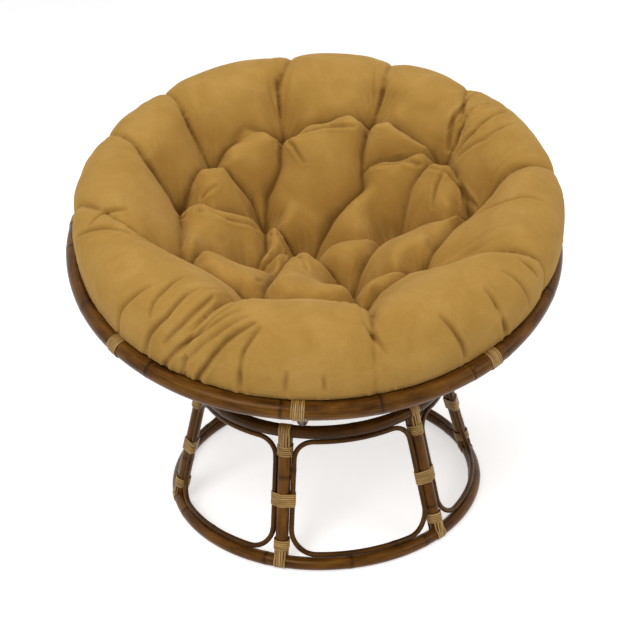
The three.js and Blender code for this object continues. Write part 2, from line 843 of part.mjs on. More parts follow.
// A place on the crease line from the middle tuft over an inner stop to an outer tuft
function alongCrease(outerName, share) {
  if (share <= innerStopShare) {
    const inside = innerCreaseStops(outerCreases[outerName].end).reverse();
    return alongRuns(inside.map(planPlace), share / innerStopShare);
  }
  const outside = outerCreaseStops(outerName).reverse();
  return alongRuns(outside.map(planPlace), (share - innerStopShare) / (1 - innerStopShare));
}

// A lobe lies between the crease lines of one outer tuft and the next, and between their seams on the roll
function lobeBetween(start, end) {
  const edgeStart = radians(seamEdgeAzimuths[start]);
  return { start, end, edgeStart, edgeSweep: sweepBetween(edgeStart, radians(seamEdgeAzimuths[end])) };
}

const lobes = outerNames.map((name, i) => lobeBetween(name, outerNames[(i + 1) % outerNames.length]));

// One section of the cushion, from near the middle tuft, over the roll and back under
function cushionSection({ start, end, edgeStart, edgeSweep }, share) {
  const section = [];
  let ringPlace = null;
  for (const ringShare of innerRingShares) {
    ringPlace = alongCrease(start, ringShare).lerp(alongCrease(end, ringShare), share);
    section.push(new THREE.Vector3(ringPlace.x, ringPlace.y, topHeight(ringPlace)));
  }
  const tuftAngle = ringPlace.sub(cushionMiddle).angle();
  const edgeAngle = edgeStart + edgeSweep * share;
  const twist = sweepBetween(-Math.PI, edgeAngle - tuftAngle) - Math.PI;
  const fromSeam = Math.min(share, 1 - share) * edgeSweep * cushionRadius;
  const drawn = pullLeft(fromSeam, cushionSeamReach);
  const rollMiddle = cushionRadius - cushionRollRadius;
  function rollRadiusAt(rollAngle) {
    const turnedIn = (rollAngle / radians(rollStart)) ** 2;
    return cushionRollRadius - cushionSeamDepth * drawn * THREE.MathUtils.lerp(seamEdgeShare, 1, turnedIn);
  }
  const edge = direction(edgeAngle).multiplyScalar(rollMiddle + rollRadiusAt(0)).add(cushionMiddle);
  edge.setLength(Math.max(edge.length(), rimRadius - cushionFrontSetback));
  const wantedRollHeight = cushionRollHeight + cushionRollRise * Math.sin(edgeAngle);
  const rollHeight = Math.max(wantedRollHeight, rimWrap(edge.length())[0].height + cushionEdgeLift);
  rollAngles.map(radians).forEach((rollAngle, i) => {
    const rollRadius = rollRadiusAt(rollAngle);
    const out = direction(tuftAngle + twist * Math.min((i + 1) / rollTurnSteps, 1));
    const crest = (rollRadius * (cushionCrestHeight - cushionCrestFall * out.y)) / cushionRollRadius;
    const place = out.multiplyScalar(rollMiddle + rollRadius * Math.cos(rollAngle)).add(cushionMiddle);
    const edgeShare = edge.length() > place.length() ? Math.max(Math.cos(rollAngle), 0) ** 2 : 0;
    place.lerp(edge, edgeShare);
    section.push(new THREE.Vector3(place.x, place.y, rollHeight + crest * Math.sin(rollAngle)));
  });
  for (const { reach, height } of rimWrap(edge.length() - cushionEdgeTuck)) {
    section.push(around(edge.angle(), reach, height));
  }
  for (const { polar, radius } of undersideRows) {
    section.push(onSphere(edge.angle(), radians(polar), radius));
  }
  return section;
}

// A patch of the top is split along the diagonal that lies nearer to the top's true height, so that the
// faces follow the creases. The answer is the corner at which that diagonal starts.
function betterDiagonal([a, b, c, d]) {
  const centre = a.clone().add(b).add(c).add(d).divideScalar(4);
  const height = topHeight(centre);
  return Math.abs((a.z + c.z) / 2 - height) <= Math.abs((b.z + d.z) / 2 - height) ? 0 : 1;
}

function cushionGeometry() {
  const sections = [];
  for (const lobe of lobes) {
    const steps = Math.round(lobe.edgeSweep / longestSectionStep);
    for (let step = 0; step < steps; step += 1) {
      sections.push(cushionSection(lobe, step / steps));
    }
  }
  const ringCount = sections[0].length;
  const bottom = onSphere(0, 0, cushionSphereRadius);
  const middleTuft = new THREE.Vector3(...tuftShares.middle).multiplyScalar(rimRadius);
  const points = [middleTuft, bottom, ...sections.flat()];
  const faces = [];
  sections.forEach((section, i) => {
    const here = 2 + i * ringCount;
    const next = 2 + ((i + 1) % sections.length) * ringCount;
    faces.push(0, here, next);
    faces.push(1, next + ringCount - 1, here + ringCount - 1);
    for (let k = 1; k < ringCount; k += 1) {
      const corners = [here + k - 1, here + k, next + k, next + k - 1];
      const onTop = k < innerRingShares.length;
      const first = onTop ? betterDiagonal(corners.map((corner) => points[corner])) : 0;
      const [a, b, c, d] = [0, 1, 2, 3].map((turn) => corners[(first + turn) % corners.length]);
      faces.push(a, b, c, a, c, d);
    }
  });
  const geometry = new THREE.BufferGeometry().setFromPoints(points);
  geometry.setIndex(faces);
  return geometry;
}

dish.add(piece('cushion', cushionGeometry(), cushionFinish));

// The dish leans about the sphere's centre, which stays over the stand's axis
const lean = radians(dishLean);
dish.rotation.x = lean;
dish.position.set(0, sphereRise * Math.sin(lean), sphereCentreHeight - sphereRise * Math.cos(lean));

const papasanChair = new THREE.Group();
papasanChair.add(stand, dish);
papasanChair.updateMatrixWorld(true);
const bounds = new THREE.Box3().setFromObject(papasanChair, true);
papasanChair.position.set(-(bounds.min.x + bounds.max.x) / 2, -(bounds.min.y + bounds.max.y) / 2, 0);
papasanChair.updateMatrixWorld(true);

const stripGaps = bindingsToMeasure.map(leastStripGap);
console.log(`least gap of a wound strip to itself: ${Math.min(...stripGaps).toFixed(2)} mm`);

export default papasanChair;
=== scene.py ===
"""A papasan chair dressed for rendering: stained rattan poles, wound cane bindings and a tufted microsuede cushion.

Lengths are metres in the frame's own place. The dish has its own frame: x to the right, y to the back and
z up out of the plane through the rim's centreline.
"""

import math
import random

import bmesh
import bpy
import numpy as np
from mathutils import Matrix, Vector, noise
from mathutils.kdtree import KDTree


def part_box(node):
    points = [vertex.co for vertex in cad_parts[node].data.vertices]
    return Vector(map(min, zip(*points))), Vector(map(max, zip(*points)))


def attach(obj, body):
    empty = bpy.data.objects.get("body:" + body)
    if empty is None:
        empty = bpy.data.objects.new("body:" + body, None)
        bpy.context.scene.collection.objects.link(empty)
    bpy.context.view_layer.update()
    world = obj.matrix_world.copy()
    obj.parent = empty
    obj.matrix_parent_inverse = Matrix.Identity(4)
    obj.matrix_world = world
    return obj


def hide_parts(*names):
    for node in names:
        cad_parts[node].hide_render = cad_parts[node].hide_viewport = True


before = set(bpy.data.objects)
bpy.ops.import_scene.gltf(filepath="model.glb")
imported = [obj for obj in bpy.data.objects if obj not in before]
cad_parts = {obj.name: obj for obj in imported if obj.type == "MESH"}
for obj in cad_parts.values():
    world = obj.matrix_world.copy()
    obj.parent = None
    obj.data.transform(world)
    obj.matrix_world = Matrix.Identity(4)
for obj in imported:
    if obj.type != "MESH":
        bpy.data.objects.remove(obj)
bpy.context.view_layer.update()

MM = 0.001

# Sizes of the frame, as in the CAD part

LEG_COUNT = 6
FIRST_LEG_AZIMUTH = math.radians(-111.2)
STAND_POLE_RADIUS = 14 * MM
FLOOR_RING_RADIUS = 343 * MM
SEAT_RING_RADIUS = 267 * MM
SEAT_RING_HEIGHT = 288 * MM
HOOP_CANE_RADIUS = 5.5 * MM
HOOP_CORNER_RADIUS = 46 * MM
RIM_POLE_RADIUS = 19 * MM
RIM_RADIUS = 514 * MM
DISH_DEPTH = 329 * MM
DISH_LEAN = math.radians(17.6)
RIB_COUNT = 8
FIRST_RIB_AZIMUTH = math.radians(-143.5)
RIB_POLE_RADIUS = 9 * MM
RIB_TAIL_LENGTH = 16 * MM
DISH_HOOP_RADIUS = 8 * MM
MIDDLE_HOOP_POLAR = math.radians(40)
BOTTOM_HOOP_POLAR = math.radians(15)
SLAT_RADIUS = 6 * MM
SLAT_SPACING = 48 * MM
SEAT_GAP = 0.3 * MM
REST_GAP = 0.6 * MM
CUSHION_CONTACT_GAP = 0.3 * MM

FLOOR_RING_HEIGHT = STAND_POLE_RADIUS
RIB_SPHERE_RADIUS = (RIM_RADIUS**2 + DISH_DEPTH**2) / (2 * DISH_DEPTH)
SPHERE_RISE = RIB_SPHERE_RADIUS - DISH_DEPTH
RIM_POLAR = math.atan2(RIM_RADIUS, SPHERE_RISE)
INNER_SPHERE_RADIUS = RIB_SPHERE_RADIUS - RIB_POLE_RADIUS - SEAT_GAP - DISH_HOOP_RADIUS
CUSHION_SPHERE_RADIUS = INNER_SPHERE_RADIUS - DISH_HOOP_RADIUS - CUSHION_CONTACT_GAP
CONTACT_RADIUS = RIB_SPHERE_RADIUS + RIB_POLE_RADIUS + REST_GAP + STAND_POLE_RADIUS
SPHERE_CENTRE_HEIGHT = SEAT_RING_HEIGHT + math.sqrt(CONTACT_RADIUS**2 - SEAT_RING_RADIUS**2)

seat_ring_low, seat_ring_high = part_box("seat_ring")
STAND_AXIS = Vector(((seat_ring_low[0] + seat_ring_high[0]) / 2, (seat_ring_low[1] + seat_ring_high[1]) / 2, 0))
STAND_PLACE = Matrix.Translation(STAND_AXIS)
DISH_PLACE = (
    Matrix.Translation(
        STAND_AXIS
        + Vector((0, SPHERE_RISE * math.sin(DISH_LEAN), SPHERE_CENTRE_HEIGHT - SPHERE_RISE * math.cos(DISH_LEAN)))
    )
    @ Matrix.Rotation(DISH_LEAN, 4, "X")
)


def around(azimuth, radius, height=0.0):
    return Vector((radius * math.cos(azimuth), radius * math.sin(azimuth), height))


def on_sphere(azimuth, polar, radius):
    return around(azimuth, radius * math.sin(polar), SPHERE_RISE - radius * math.cos(polar))


def bell(distance, width):
    return math.exp(-((distance / width) ** 2))


def bells(distances, width):
    """The same for a whole array."""
    return np.exp(-((distances / width) ** 2))


# Colours and materials


def linear(hex_colour):
    parts = [int(hex_colour[i : i + 2], 16) / 255 for i in (0, 2, 4)]
    return [c / 12.92 if c <= 0.04045 else ((c + 0.055) / 1.055) ** 2.4 for c in parts] + [1]


def add(tree, kind, inputs=None, **settings):
    """Adds a node, sets its properties, and fills its inputs with values or with other nodes' outputs."""
    node = tree.nodes.new(kind)
    for key, value in settings.items():
        setattr(node, key, value)
    for key, value in (inputs or {}).items():
        if isinstance(value, bpy.types.NodeSocket):
            tree.links.new(value, node.inputs[key])
        else:
            node.inputs[key].default_value = value
    return node


def colour_stops(ramp, stops):
    elements = ramp.color_ramp.elements
    while len(elements) < len(stops):
        elements.new(0.5)
    for element, (place, colour) in zip(elements, stops):
        element.position = place
        element.color = linear(colour)


def new_material(name, finish):
    """A material whose shader has the plain values in finish on its own sockets."""
    material = bpy.data.materials.new(name)
    material.use_nodes = True
    tree = material.node_tree
    shader = tree.nodes["Principled BSDF"]
    for key, value in finish.items():
        shader.inputs[key].default_value = value
    return material, tree, shader


def toned(tree, shader, fine, broad, shares, stops, mark, marked, bump):
    """Colours a surface by a fine and a broad pattern, and the marked colour where the attribute mark is high: a real
    stain on the rattan, painted crease shade on the cushion.

    shares are the fine pattern's share and the tone's scale, and bump its strength and depth.
    """
    both = add(tree, "ShaderNodeMath", {0: fine, 1: shares[0], 2: broad}, operation="MULTIPLY_ADD")
    tone = add(tree, "ShaderNodeMath", {0: both.outputs[0], 1: shares[1]}, operation="MULTIPLY")
    ramp = add(tree, "ShaderNodeValToRGB", {"Fac": tone.outputs[0]})
    colour_stops(ramp, stops)
    here = add(tree, "ShaderNodeAttribute", attribute_name=mark).outputs["Fac"]
    drawn = add(tree, "ShaderNodeMix", {0: here, 6: ramp.outputs["Color"], 7: linear(marked)}, data_type="RGBA")
    tree.links.new(drawn.outputs[2], shader.inputs["Base Color"])
    relief = add(tree, "ShaderNodeBump", {"Height": fine, "Strength": bump[0], "Distance": bump[1]})
    tree.links.new(relief.outputs[0], shader.inputs["Normal"])


def rattan(name, stops, mark, marked, streak, patch, shares, gloss, bump, finish):
    """A rattan surface whose streaks and patches follow the pole or strip through its own grain places.

    streak and patch are (along, across, detail, roughness), the first two in waves a metre. gloss is the lowest and
    the highest roughness.
    """
    material, tree, shader = new_material(name, finish)
    grain = add(tree, "ShaderNodeAttribute", attribute_name="grain").outputs["Vector"]
    fields = []
    for along, across, detail, roughness in (streak, patch):
        place = add(tree, "ShaderNodeMapping", {"Vector": grain, "Scale": (along, across, across)})
        values = {"Vector": place.outputs["Vector"], "Scale": 1.0, "Detail": detail, "Roughness": roughness}
        fields.append(add(tree, "ShaderNodeTexNoise", values).outputs["Fac"])
    streaks, patches = fields
    toned(tree, shader, streaks, patches, shares, stops, mark, marked, bump)
    span = {"Value": patches, "From Min": 0.3, "From Max": 0.7, "To Min": gloss[0], "To Max": gloss[1]}
    rough = add(tree, "ShaderNodeMapRange", span)
    tree.links.new(rough.outputs[0], shader.inputs["Roughness"])
    return material


# Peeled rattan pole, bent over steam, stained red-brown and sprayed with clear lacquer. The eye gets long fine
# streaks of the vessels, dark stain caught at each knuckle, and sharp highlights of the lacquer with dull places.
# Vessels are about 0.4 mm across and drawn 1.5 mm wide so that they show, and run for 60 mm. The stain soaks in
# unevenly, in patches about 20 mm across and 70 mm long.
POLE_LACQUER = {
    "Specular IOR Level": 0.3,
    "Specular Tint": linear("e8a860"),
    "Coat Weight": 0.08,
    "Coat Roughness": 0.16,
}


def stained_rattan(name, dark, middle, light, gloss):
    return rattan(
        name,
        stops=[(0.36, dark), (0.5, middle), (0.66, light)],
        mark="knuckle",
        marked="1e1008",
        streak=(16, 650, 3.0, 0.6),
        patch=(14, 45, 4.0, 0.55),
        shares=(0.7, 0.59),
        gloss=(gloss, gloss + 0.16),
        bump=(0.25, 0.3 * MM),
        finish=POLE_LACQUER,
    )


def brushed_microsuede():
    """Polyester microsuede: a dense knit whose back was sanded to a short nap.

    The eye gets a dry golden camel that turns paler where the nap was stroked one way and darker where it was
    stroked the other, with a soft pale edge where the surface turns away.
    """
    finish = {
        "Roughness": 0.92,
        "Specular IOR Level": 0.2,
        "Sheen Weight": 0.35,
        "Sheen Roughness": 0.45,
        "Sheen Tint": linear("e6c489"),
    }
    material, tree, shader = new_material("brushed_microsuede", finish)
    place = add(tree, "ShaderNodeTexCoord").outputs["Object"]
    # Stroked patches are 40 to 120 mm across, with ragged edges
    values = {"Vector": place, "Scale": 13.0, "Detail": 5.0, "Roughness": 0.62, "Distortion": 0.6}
    strokes = add(tree, "ShaderNodeTexNoise", values).outputs["Fac"]
    # The nap's clumps are about 0.5 mm and drawn at 2.5 mm so that they show
    values = {"Vector": place, "Scale": 420.0, "Detail": 3.0, "Roughness": 0.7}
    nap = add(tree, "ShaderNodeTexNoise", values).outputs["Fac"]
    camel = [(0.3, "a67d36"), (0.5, "b28841"), (0.7, "be954f")]
    # Painted crease shade: the colour 6d4a17 is laid where the fold attribute is high, deep in creases and along the
    # folds, creases and tufts
    toned(tree, shader, nap, strokes, (0.55, 0.645), camel, "fold", "6d4a17", (0.45, 0.8 * MM))
    return material


def waxed_thread():
    """Waxed polyester thread: two plies twisted together and run through wax, a fine slanted rope to the eye."""
    material, tree, shader = new_material("waxed_thread", {"Roughness": 0.55})
    place = add(tree, "ShaderNodeTexCoord").outputs["Object"]
    # The plies turn every 1.2 mm and are drawn 3 mm apart so that they show
    values = {"Vector": place, "Scale": 120.0, "Distortion": 1.0}
    plies = add(tree, "ShaderNodeTexWave", values, bands_direction="DIAGONAL")
    ramp = add(tree, "ShaderNodeValToRGB", {"Fac": plies.outputs["Fac"]})
    colour_stops(ramp, [(0.0, "6e4c1c"), (1.0, "a67c3a")])
    tree.links.new(ramp.outputs["Color"], shader.inputs["Base Color"])
    return material


pole_stain = stained_rattan("lacquered_rattan", "2f1806", "56340f", "79501a", 0.26)
# A darker copy of the pole stain for the seat ring, ribs, dish hoops and slats, which lie in the dish's shade:
# painted shade
pole_stain_with_painted_shade = stained_rattan("lacquered_rattan_painted_shade", "1f1105", "371f09", "533311", 0.3)
hoop_stain = stained_rattan("lacquered_rattan_hoop", "261406", "43280b", "614015", 0.28)

# Split cane: strips peeled from the rattan's own skin, wound wet, left their golden colour and lacquered. The
# eye gets a hard glassy skin with faint lengthwise lines, strand to strand changes of tan and thin dark gaps
# where stain has run in. The lines are about 0.3 mm apart and drawn 0.7 mm apart so that they show.
cane_skin = rattan(
    "split_cane",
    stops=[(0.34, "7f5d28"), (0.5, "aa8443"), (0.66, "c9a462")],
    mark="strip_edge",
    marked="6a4a20",
    streak=(25, 1500, 2.0, 0.5),
    patch=(28, 120, 3.0, 0.5),
    shares=(0.4, 0.71),
    gloss=(0.3, 0.48),
    bump=(0.3, 0.2 * MM),
    finish={"Specular IOR Level": 0.35, "Coat Weight": 0.12, "Coat Roughness": 0.2},
)
microsuede = brushed_microsuede()
thread_finish = waxed_thread()

FINISHES = {"pole": pole_stain, "dark_pole": pole_stain_with_painted_shade, "hoop_cane": hoop_stain, "cane": cane_skin}
PLACES = {"stand": STAND_PLACE, "dish": DISH_PLACE}


# Meshes


def new_piece(name, points, faces, body, finish, attributes):
    mesh = bpy.data.meshes.new(name)
    mesh.from_pydata([tuple(p) for p in points], [], faces)
    for key, (kind, values) in attributes.items():
        layer = mesh.attributes.new(key, kind, "POINT")
        values = np.asarray(values, dtype=np.float32).ravel()
        layer.data.foreach_set("vector" if kind == "FLOAT_VECTOR" else "value", values)
    mesh.validate()
    mesh.shade_smooth()
    mesh.materials.append(finish)
    piece = bpy.data.objects.new(name, mesh)
    bpy.context.scene.collection.objects.link(piece)
    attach(piece, body)
    return piece


def join_shapes(shapes):
    """Puts several (points, faces, attributes) shapes together as one."""
    points, faces, attributes = [], [], {}
    for shape_points, shape_faces, shape_attributes in shapes:
        start = len(points)
        points += list(shape_points)
        faces += [[start + i for i in face] for face in shape_faces]
        for key, (kind, values) in shape_attributes.items():
            attributes.setdefault(key, (kind, []))[1].extend(values)
    return points, faces, attributes


KNUCKLE_WIDTH = 3.2 * MM
KNUCKLE_RISE = 0.7 * MM
KNUCKLE_REACH = 6 * KNUCKLE_WIDTH
KNUCKLE_SWELL_WIDTH = 1.6 * KNUCKLE_WIDTH
KNUCKLE_GROOVE_WIDTH = 0.45 * KNUCKLE_WIDTH
KNUCKLE_GROOVE_SHARE = 0.5
KNUCKLE_SCAR_OFFSET = 0.4 * KNUCKLE_WIDTH
# A pole's radius wavers by this share of itself, at this many radians a metre
POLE_WAVER = 0.018
POLE_WAVER_TURN = 21
POLE_STEP = 6 * MM


def knuckle_places(length, seed):
    """Rattan grows in joints of uneven length, 170 to 300 mm here, each ended by a knuckle."""
    chance = random.Random(seed)
    places = []
    place = chance.uniform(0.04, 0.2)
    while place < length:
        places.append(place)
        place += chance.uniform(0.17, 0.3)
    return places


def spaced_route(points, step, closed):
    """The same route with its points an even step apart."""
    loop = list(points) + ([points[0]] if closed else [])
    lengths = [0.0]
    for a, b in zip(loop, loop[1:]):
        lengths.append(lengths[-1] + (b - a).length)
    count = max(2, round(lengths[-1] / step))
    result = []
    k = 0
    for i in range(count + 1):
        target = lengths[-1] * i / count
        while k < len(loop) - 2 and lengths[k + 1] < target:
            k += 1
        share = (target - lengths[k]) / max(lengths[k + 1] - lengths[k], 1e-9)
        result.append(loop[k].lerp(loop[k + 1], min(max(share, 0), 1)))
    return result, lengths[-1]


def pole_shape(
    route, radius, seed, sides=24, closed=False, knuckles=True, start_cope=None, end_cope=None, step=POLE_STEP
):
    """A rattan pole along a route. A closed pole ends in a butt joint, where its two ends meet."""
    points, length = spaced_route(route, step, closed)
    chance = random.Random(seed)
    places = knuckle_places(length, seed) if knuckles else []
    count = len(points)
    tangents = []
    for i in range(count):
        if closed:
            before = points[i - 1] if i else points[count - 2]
            after = points[i + 1] if i < count - 1 else points[1]
        else:
            before = points[max(i - 1, 0)]
            after = points[min(i + 1, count - 1)]
        tangents.append((after - before).normalized())
    across = tangents[0].orthogonal().normalized()
    rows, grain, knuckle = [], [], []
    phase = chance.uniform(0, 100)
    for i, (point, tangent) in enumerate(zip(points, tangents)):
        across = (across - tangent * across.dot(tangent)).normalized()
        other = tangent.cross(across)
        along = length * i / (count - 1)
        swell = 0.0
        scar = 0.0
        for place in places:
            gap = along - place
            if abs(gap) < KNUCKLE_REACH:
                groove = KNUCKLE_GROOVE_SHARE * bell(gap, KNUCKLE_GROOVE_WIDTH)
                swell += KNUCKLE_RISE * (bell(gap, KNUCKLE_SWELL_WIDTH) - groove)
                scar = max(scar, bell(gap - KNUCKLE_SCAR_OFFSET, KNUCKLE_WIDTH))
        waver = POLE_WAVER * radius * math.sin(along * POLE_WAVER_TURN + phase)
        row = []
        for k in range(sides):
            angle = 2 * math.pi * k / sides
            outward = across * math.cos(angle) + other * math.sin(angle)
            row.append(point + outward * (radius + swell + waver - POLE_WAVER * radius))
            grain.append((along + phase, radius * math.cos(angle), radius * math.sin(angle)))
            knuckle.append(scar)
        rows.append(row)
    ends = ((0, -1, start_cope), (count - 1, 1, end_cope))
    for end, way, cope in ends:
        if cope:
            rows[end] = [cope(p, tangents[end] * way) for p in rows[end]]
    faces = []
    for i in range(count - 1):
        for k in range(sides):
            n = (k + 1) % sides
            faces.append((i * sides + k, i * sides + n, (i + 1) * sides + n, (i + 1) * sides + k))
    vertices = [p for row in rows for p in row]
    for end, way, cope in ends:
        centre = sum(rows[end], Vector()) / sides
        if cope:
            centre = cope(centre, tangents[end] * way)
        tip = len(vertices)
        vertices.append(centre)
        grain.append(grain[end * sides])
        knuckle.append(0.0)
        for k in range(sides):
            a, b = end * sides + k, end * sides + (k + 1) % sides
            faces.append((b, a, tip) if way < 0 else (a, b, tip))
    return vertices, faces, {"grain": ("FLOAT_VECTOR", grain), "knuckle": ("FLOAT", knuckle)}


def frame_piece(name, node, shape, body, slot):
    """Puts a piece of the frame in its place, on its body and over the CAD solid that it stands for."""
    points, faces, attributes = shape
    points = [PLACES[body] @ p for p in points]
    piece = new_piece(name, points, faces, body, FINISHES[slot], attributes)
    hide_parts(node)


def circle_route(radius, height, first_azimuth, steps=360):
    return [around(first_azimuth + 2 * math.pi * i / steps, radius, height) for i in range(steps)]


def meets_ring(ring_radius, ring_height, reach):
    """Moves a pole's end along its own length until it lies on the round of a ring."""

    def cope(point, direction):
        def clearance(distance):
            p = point + direction * distance
            return math.hypot(math.hypot(p.x, p.y) - ring_radius, p.z - ring_height) - reach

        near, far = -3 * reach, 0.0
        for _ in range(40):
            middle = (near + far) / 2
            if clearance(middle) > 0:
                near = middle
            else:
                far = middle
        return point + direction * near

    return cope


# Stand

RING_JOINT_AZIMUTH = math.radians(70)
for ring_name, ring_radius, ring_height, seed, ring_slot in (
    ("floor_ring", FLOOR_RING_RADIUS, FLOOR_RING_HEIGHT, 3, "pole"),
    ("seat_ring", SEAT_RING_RADIUS, SEAT_RING_HEIGHT, 5, "dark_pole"),
):
    route = circle_route(ring_radius, ring_height, RING_JOINT_AZIMUTH)
    ring = pole_shape(route, STAND_POLE_RADIUS, seed, 28, closed=True)
    frame_piece(f"{ring_name}_pole", ring_name, ring, "stand", ring_slot)

LEG_DROP = SEAT_RING_HEIGHT - FLOOR_RING_HEIGHT
LEG_SPREAD = FLOOR_RING_RADIUS - SEAT_RING_RADIUS
SLANT_LENGTH = math.hypot(LEG_DROP, LEG_SPREAD)
LEG_PITCH = 2 * math.pi / LEG_COUNT


def cone_radius(slant):
    return FLOOR_RING_RADIUS - LEG_SPREAD * slant / SLANT_LENGTH


def on_cone(azimuth, slant):
    return around(azimuth, cone_radius(slant), FLOOR_RING_HEIGHT + LEG_DROP * slant / SLANT_LENGTH)


def leg_frame(azimuth, slant):
    """The leg's centre there, and the directions up the leg, round the stand and away from it."""
    along = (on_cone(azimuth, SLANT_LENGTH) - on_cone(azimuth, 0)).normalized()
    side = around(azimuth + math.pi / 2, 1)
    return on_cone(azimuth, slant), along, side, side.cross(along).normalized()


HOOP_SETBACK = STAND_POLE_RADIUS + SEAT_GAP + HOOP_CANE_RADIUS


def hoop_half_width(slant):
    radius = cone_radius(slant)
    return radius * (LEG_PITCH / 2 - math.asin(HOOP_SETBACK / radius))


def hoop_route(middle_azimuth):
    """The rounded frame between two legs, drawn flat and then laid on the stand's cone."""
    low = HOOP_SETBACK + SEAT_GAP
    high = SLANT_LENGTH - HOOP_SETBACK - SEAT_GAP
    side_angle = math.atan((hoop_half_width(low) - hoop_half_width(high)) / (high - low))
    low_turn, high_turn = math.pi / 2 + side_angle, math.pi / 2 - side_angle
    low_across = hoop_half_width(low) - HOOP_CORNER_RADIUS * math.tan(low_turn / 2)
    high_across = hoop_half_width(high) - HOOP_CORNER_RADIUS * math.tan(high_turn / 2)
    seam = (low + high) / 2
    corner_steps, edge_steps = 16, 40
    outline = [(hoop_half_width(seam), seam)]

    def arc(across, slant, start, turn):
        for i in range(corner_steps + 1):
            angle = start + turn * i / corner_steps
            corner_across, corner_up = HOOP_CORNER_RADIUS * math.cos(angle), HOOP_CORNER_RADIUS * math.sin(angle)
            outline.append((across + corner_across, slant + corner_up))

    def edge(slant, start, end):
        outline.extend((start + (end - start) * i / edge_steps, slant) for i in range(1, edge_steps))

    arc(high_across, high - HOOP_CORNER_RADIUS, side_angle, high_turn)
    edge(high, high_across, -high_across)
    arc(-high_across, high - HOOP_CORNER_RADIUS, math.pi / 2, high_turn)
    outline.append((-hoop_half_width(seam), seam))
    arc(-low_across, low + HOOP_CORNER_RADIUS, math.pi - side_angle, low_turn)
    edge(low, -low_across, low_across)
    arc(low_across, low + HOOP_CORNER_RADIUS, -math.pi / 2, low_turn)
    return [on_cone(middle_azimuth + across / cone_radius(slant), slant) for across, slant in outline]


# Wound cane: a crowned strip that follows a route, its edges darker where stain has run in

STRIP_THICKNESS = 1.2 * MM
# Turns lie this many widths apart, and each one slips along by up to this share of a width
STRIP_SPACING = 1.06
STRIP_SLIP = 0.04
# Each corner's place across in widths and up in thicknesses, and how deep its stain is
STRIP_SECTION = (
    (-0.5, 0.1, 0.9),
    (-0.4, 0.75, 0.15),
    (-0.15, 1.0, 0.0),
    (0.15, 1.0, 0.0),
    (0.4, 0.75, 0.15),
    (0.5, 0.1, 0.9),
    (0.4, 0.0, 1.0),
    (-0.4, 0.0, 1.0),
)


def strip_shape(stations, width, seed):
    """Stations are (point, outward, sideways): the strip's inner middle, and its two section directions."""
    chance = random.Random(seed)
    phase = chance.uniform(0, 50)
    count, corners = len(stations), len(STRIP_SECTION)
    points, faces, grain, stain = [], [], [], []
    along = phase
    for i, (point, outward, sideways) in enumerate(stations):
        if i:
            along += (point - stations[i - 1][0]).length
        for across, rise, edge in STRIP_SECTION:
            points.append(point + sideways * across * width + outward * rise * STRIP_THICKNESS)
            grain.append((along, across * width + phase, rise * STRIP_THICKNESS))
            stain.append(edge)
        if i:
            here, back = i * corners, (i - 1) * corners
            for k in range(corners):
                n = (k + 1) % corners
                faces.append((back + k, back + n, here + n, here + k))
    faces.append(tuple(range(corners - 1, -1, -1)))
    faces.append(tuple(range((count - 1) * corners, count * corners)))
    return points, faces, {"grain": ("FLOAT_VECTOR", grain), "strip_edge": ("FLOAT", stain)}


def tangent_corners(directions, support):
    """The corners of the hull whose sides face the given directions, at the distances that support gives."""
    corners = []
    for i, angle in enumerate(directions):
        following = directions[(i + 1) % len(directions)]
        here, there = support(angle), support(following)
        turn = math.sin(following - angle)
        across = (here * math.sin(following) - there * math.sin(angle)) / turn
        away = (there * math.cos(angle) - here * math.cos(following)) / turn
        corners.append(Vector((across, away)))
    return corners


def wound_shape(frame_at, directions, support, length, turns, seed):
    """A strip wound in a steady spiral round a hull of poles. frame_at gives centre, along, side and out."""
    width = length / (turns + 1) / STRIP_SPACING
    corners = tangent_corners(directions, support)
    per_turn = len(corners)
    chance = random.Random(seed)
    slips = [chance.uniform(-STRIP_SLIP, STRIP_SLIP) * width for _ in range(turns + 2)]
    places = []
    total = turns * per_turn
    for i in range(total + 1):
        turn_share = i / per_turn
        whole = int(turn_share)
        slip = slips[whole] + (slips[whole + 1] - slips[whole]) * (turn_share - whole)
        centre, up, side, out = frame_at((length - width) * (i / total - 0.5) + slip)
        corner = corners[i % per_turn]
        places.append((centre + side * corner.x + out * corner.y, up, side * corner.x + out * corner.y))
    stations = []
    for i, (point, up, off) in enumerate(places):
        heading = (places[min(i + 1, total)][0] - places[max(i - 1, 0)][0]).normalized()
        outward = heading.cross(up).normalized()
        if outward.dot(off) < 0:
            outward = -outward
        stations.append((point, outward, up))
    return strip_shape(stations, width, seed)


SPIRAL_STEPS = 40
even_directions = [2 * math.pi * i / SPIRAL_STEPS for i in range(SPIRAL_STEPS)]
hoop_inset = HOOP_SETBACK**2 / (2 * SEAT_RING_RADIUS)


def three_pole_support(angle):
    """How far the hull of the leg and its two hoop canes reaches in a direction."""
    inwards = max(-math.sin(angle), 0)
    cane = HOOP_SETBACK * abs(math.cos(angle)) + hoop_inset * inwards + HOOP_CANE_RADIUS
    return max(STAND_POLE_RADIUS, cane) + SEAT_GAP


slope_direction = math.acos((STAND_POLE_RADIUS - HOOP_CANE_RADIUS) / HOOP_SETBACK)
quarter_steps = 7
slopes = [slope_direction * i / quarter_steps for i in range(quarter_steps + 1)]
three_pole_directions = (
    slopes
    + [math.pi - s for s in reversed(slopes)]
    + [math.pi + s for s in slopes[1:]]
    + [2 * math.pi - s for s in reversed(slopes[1:])]
)

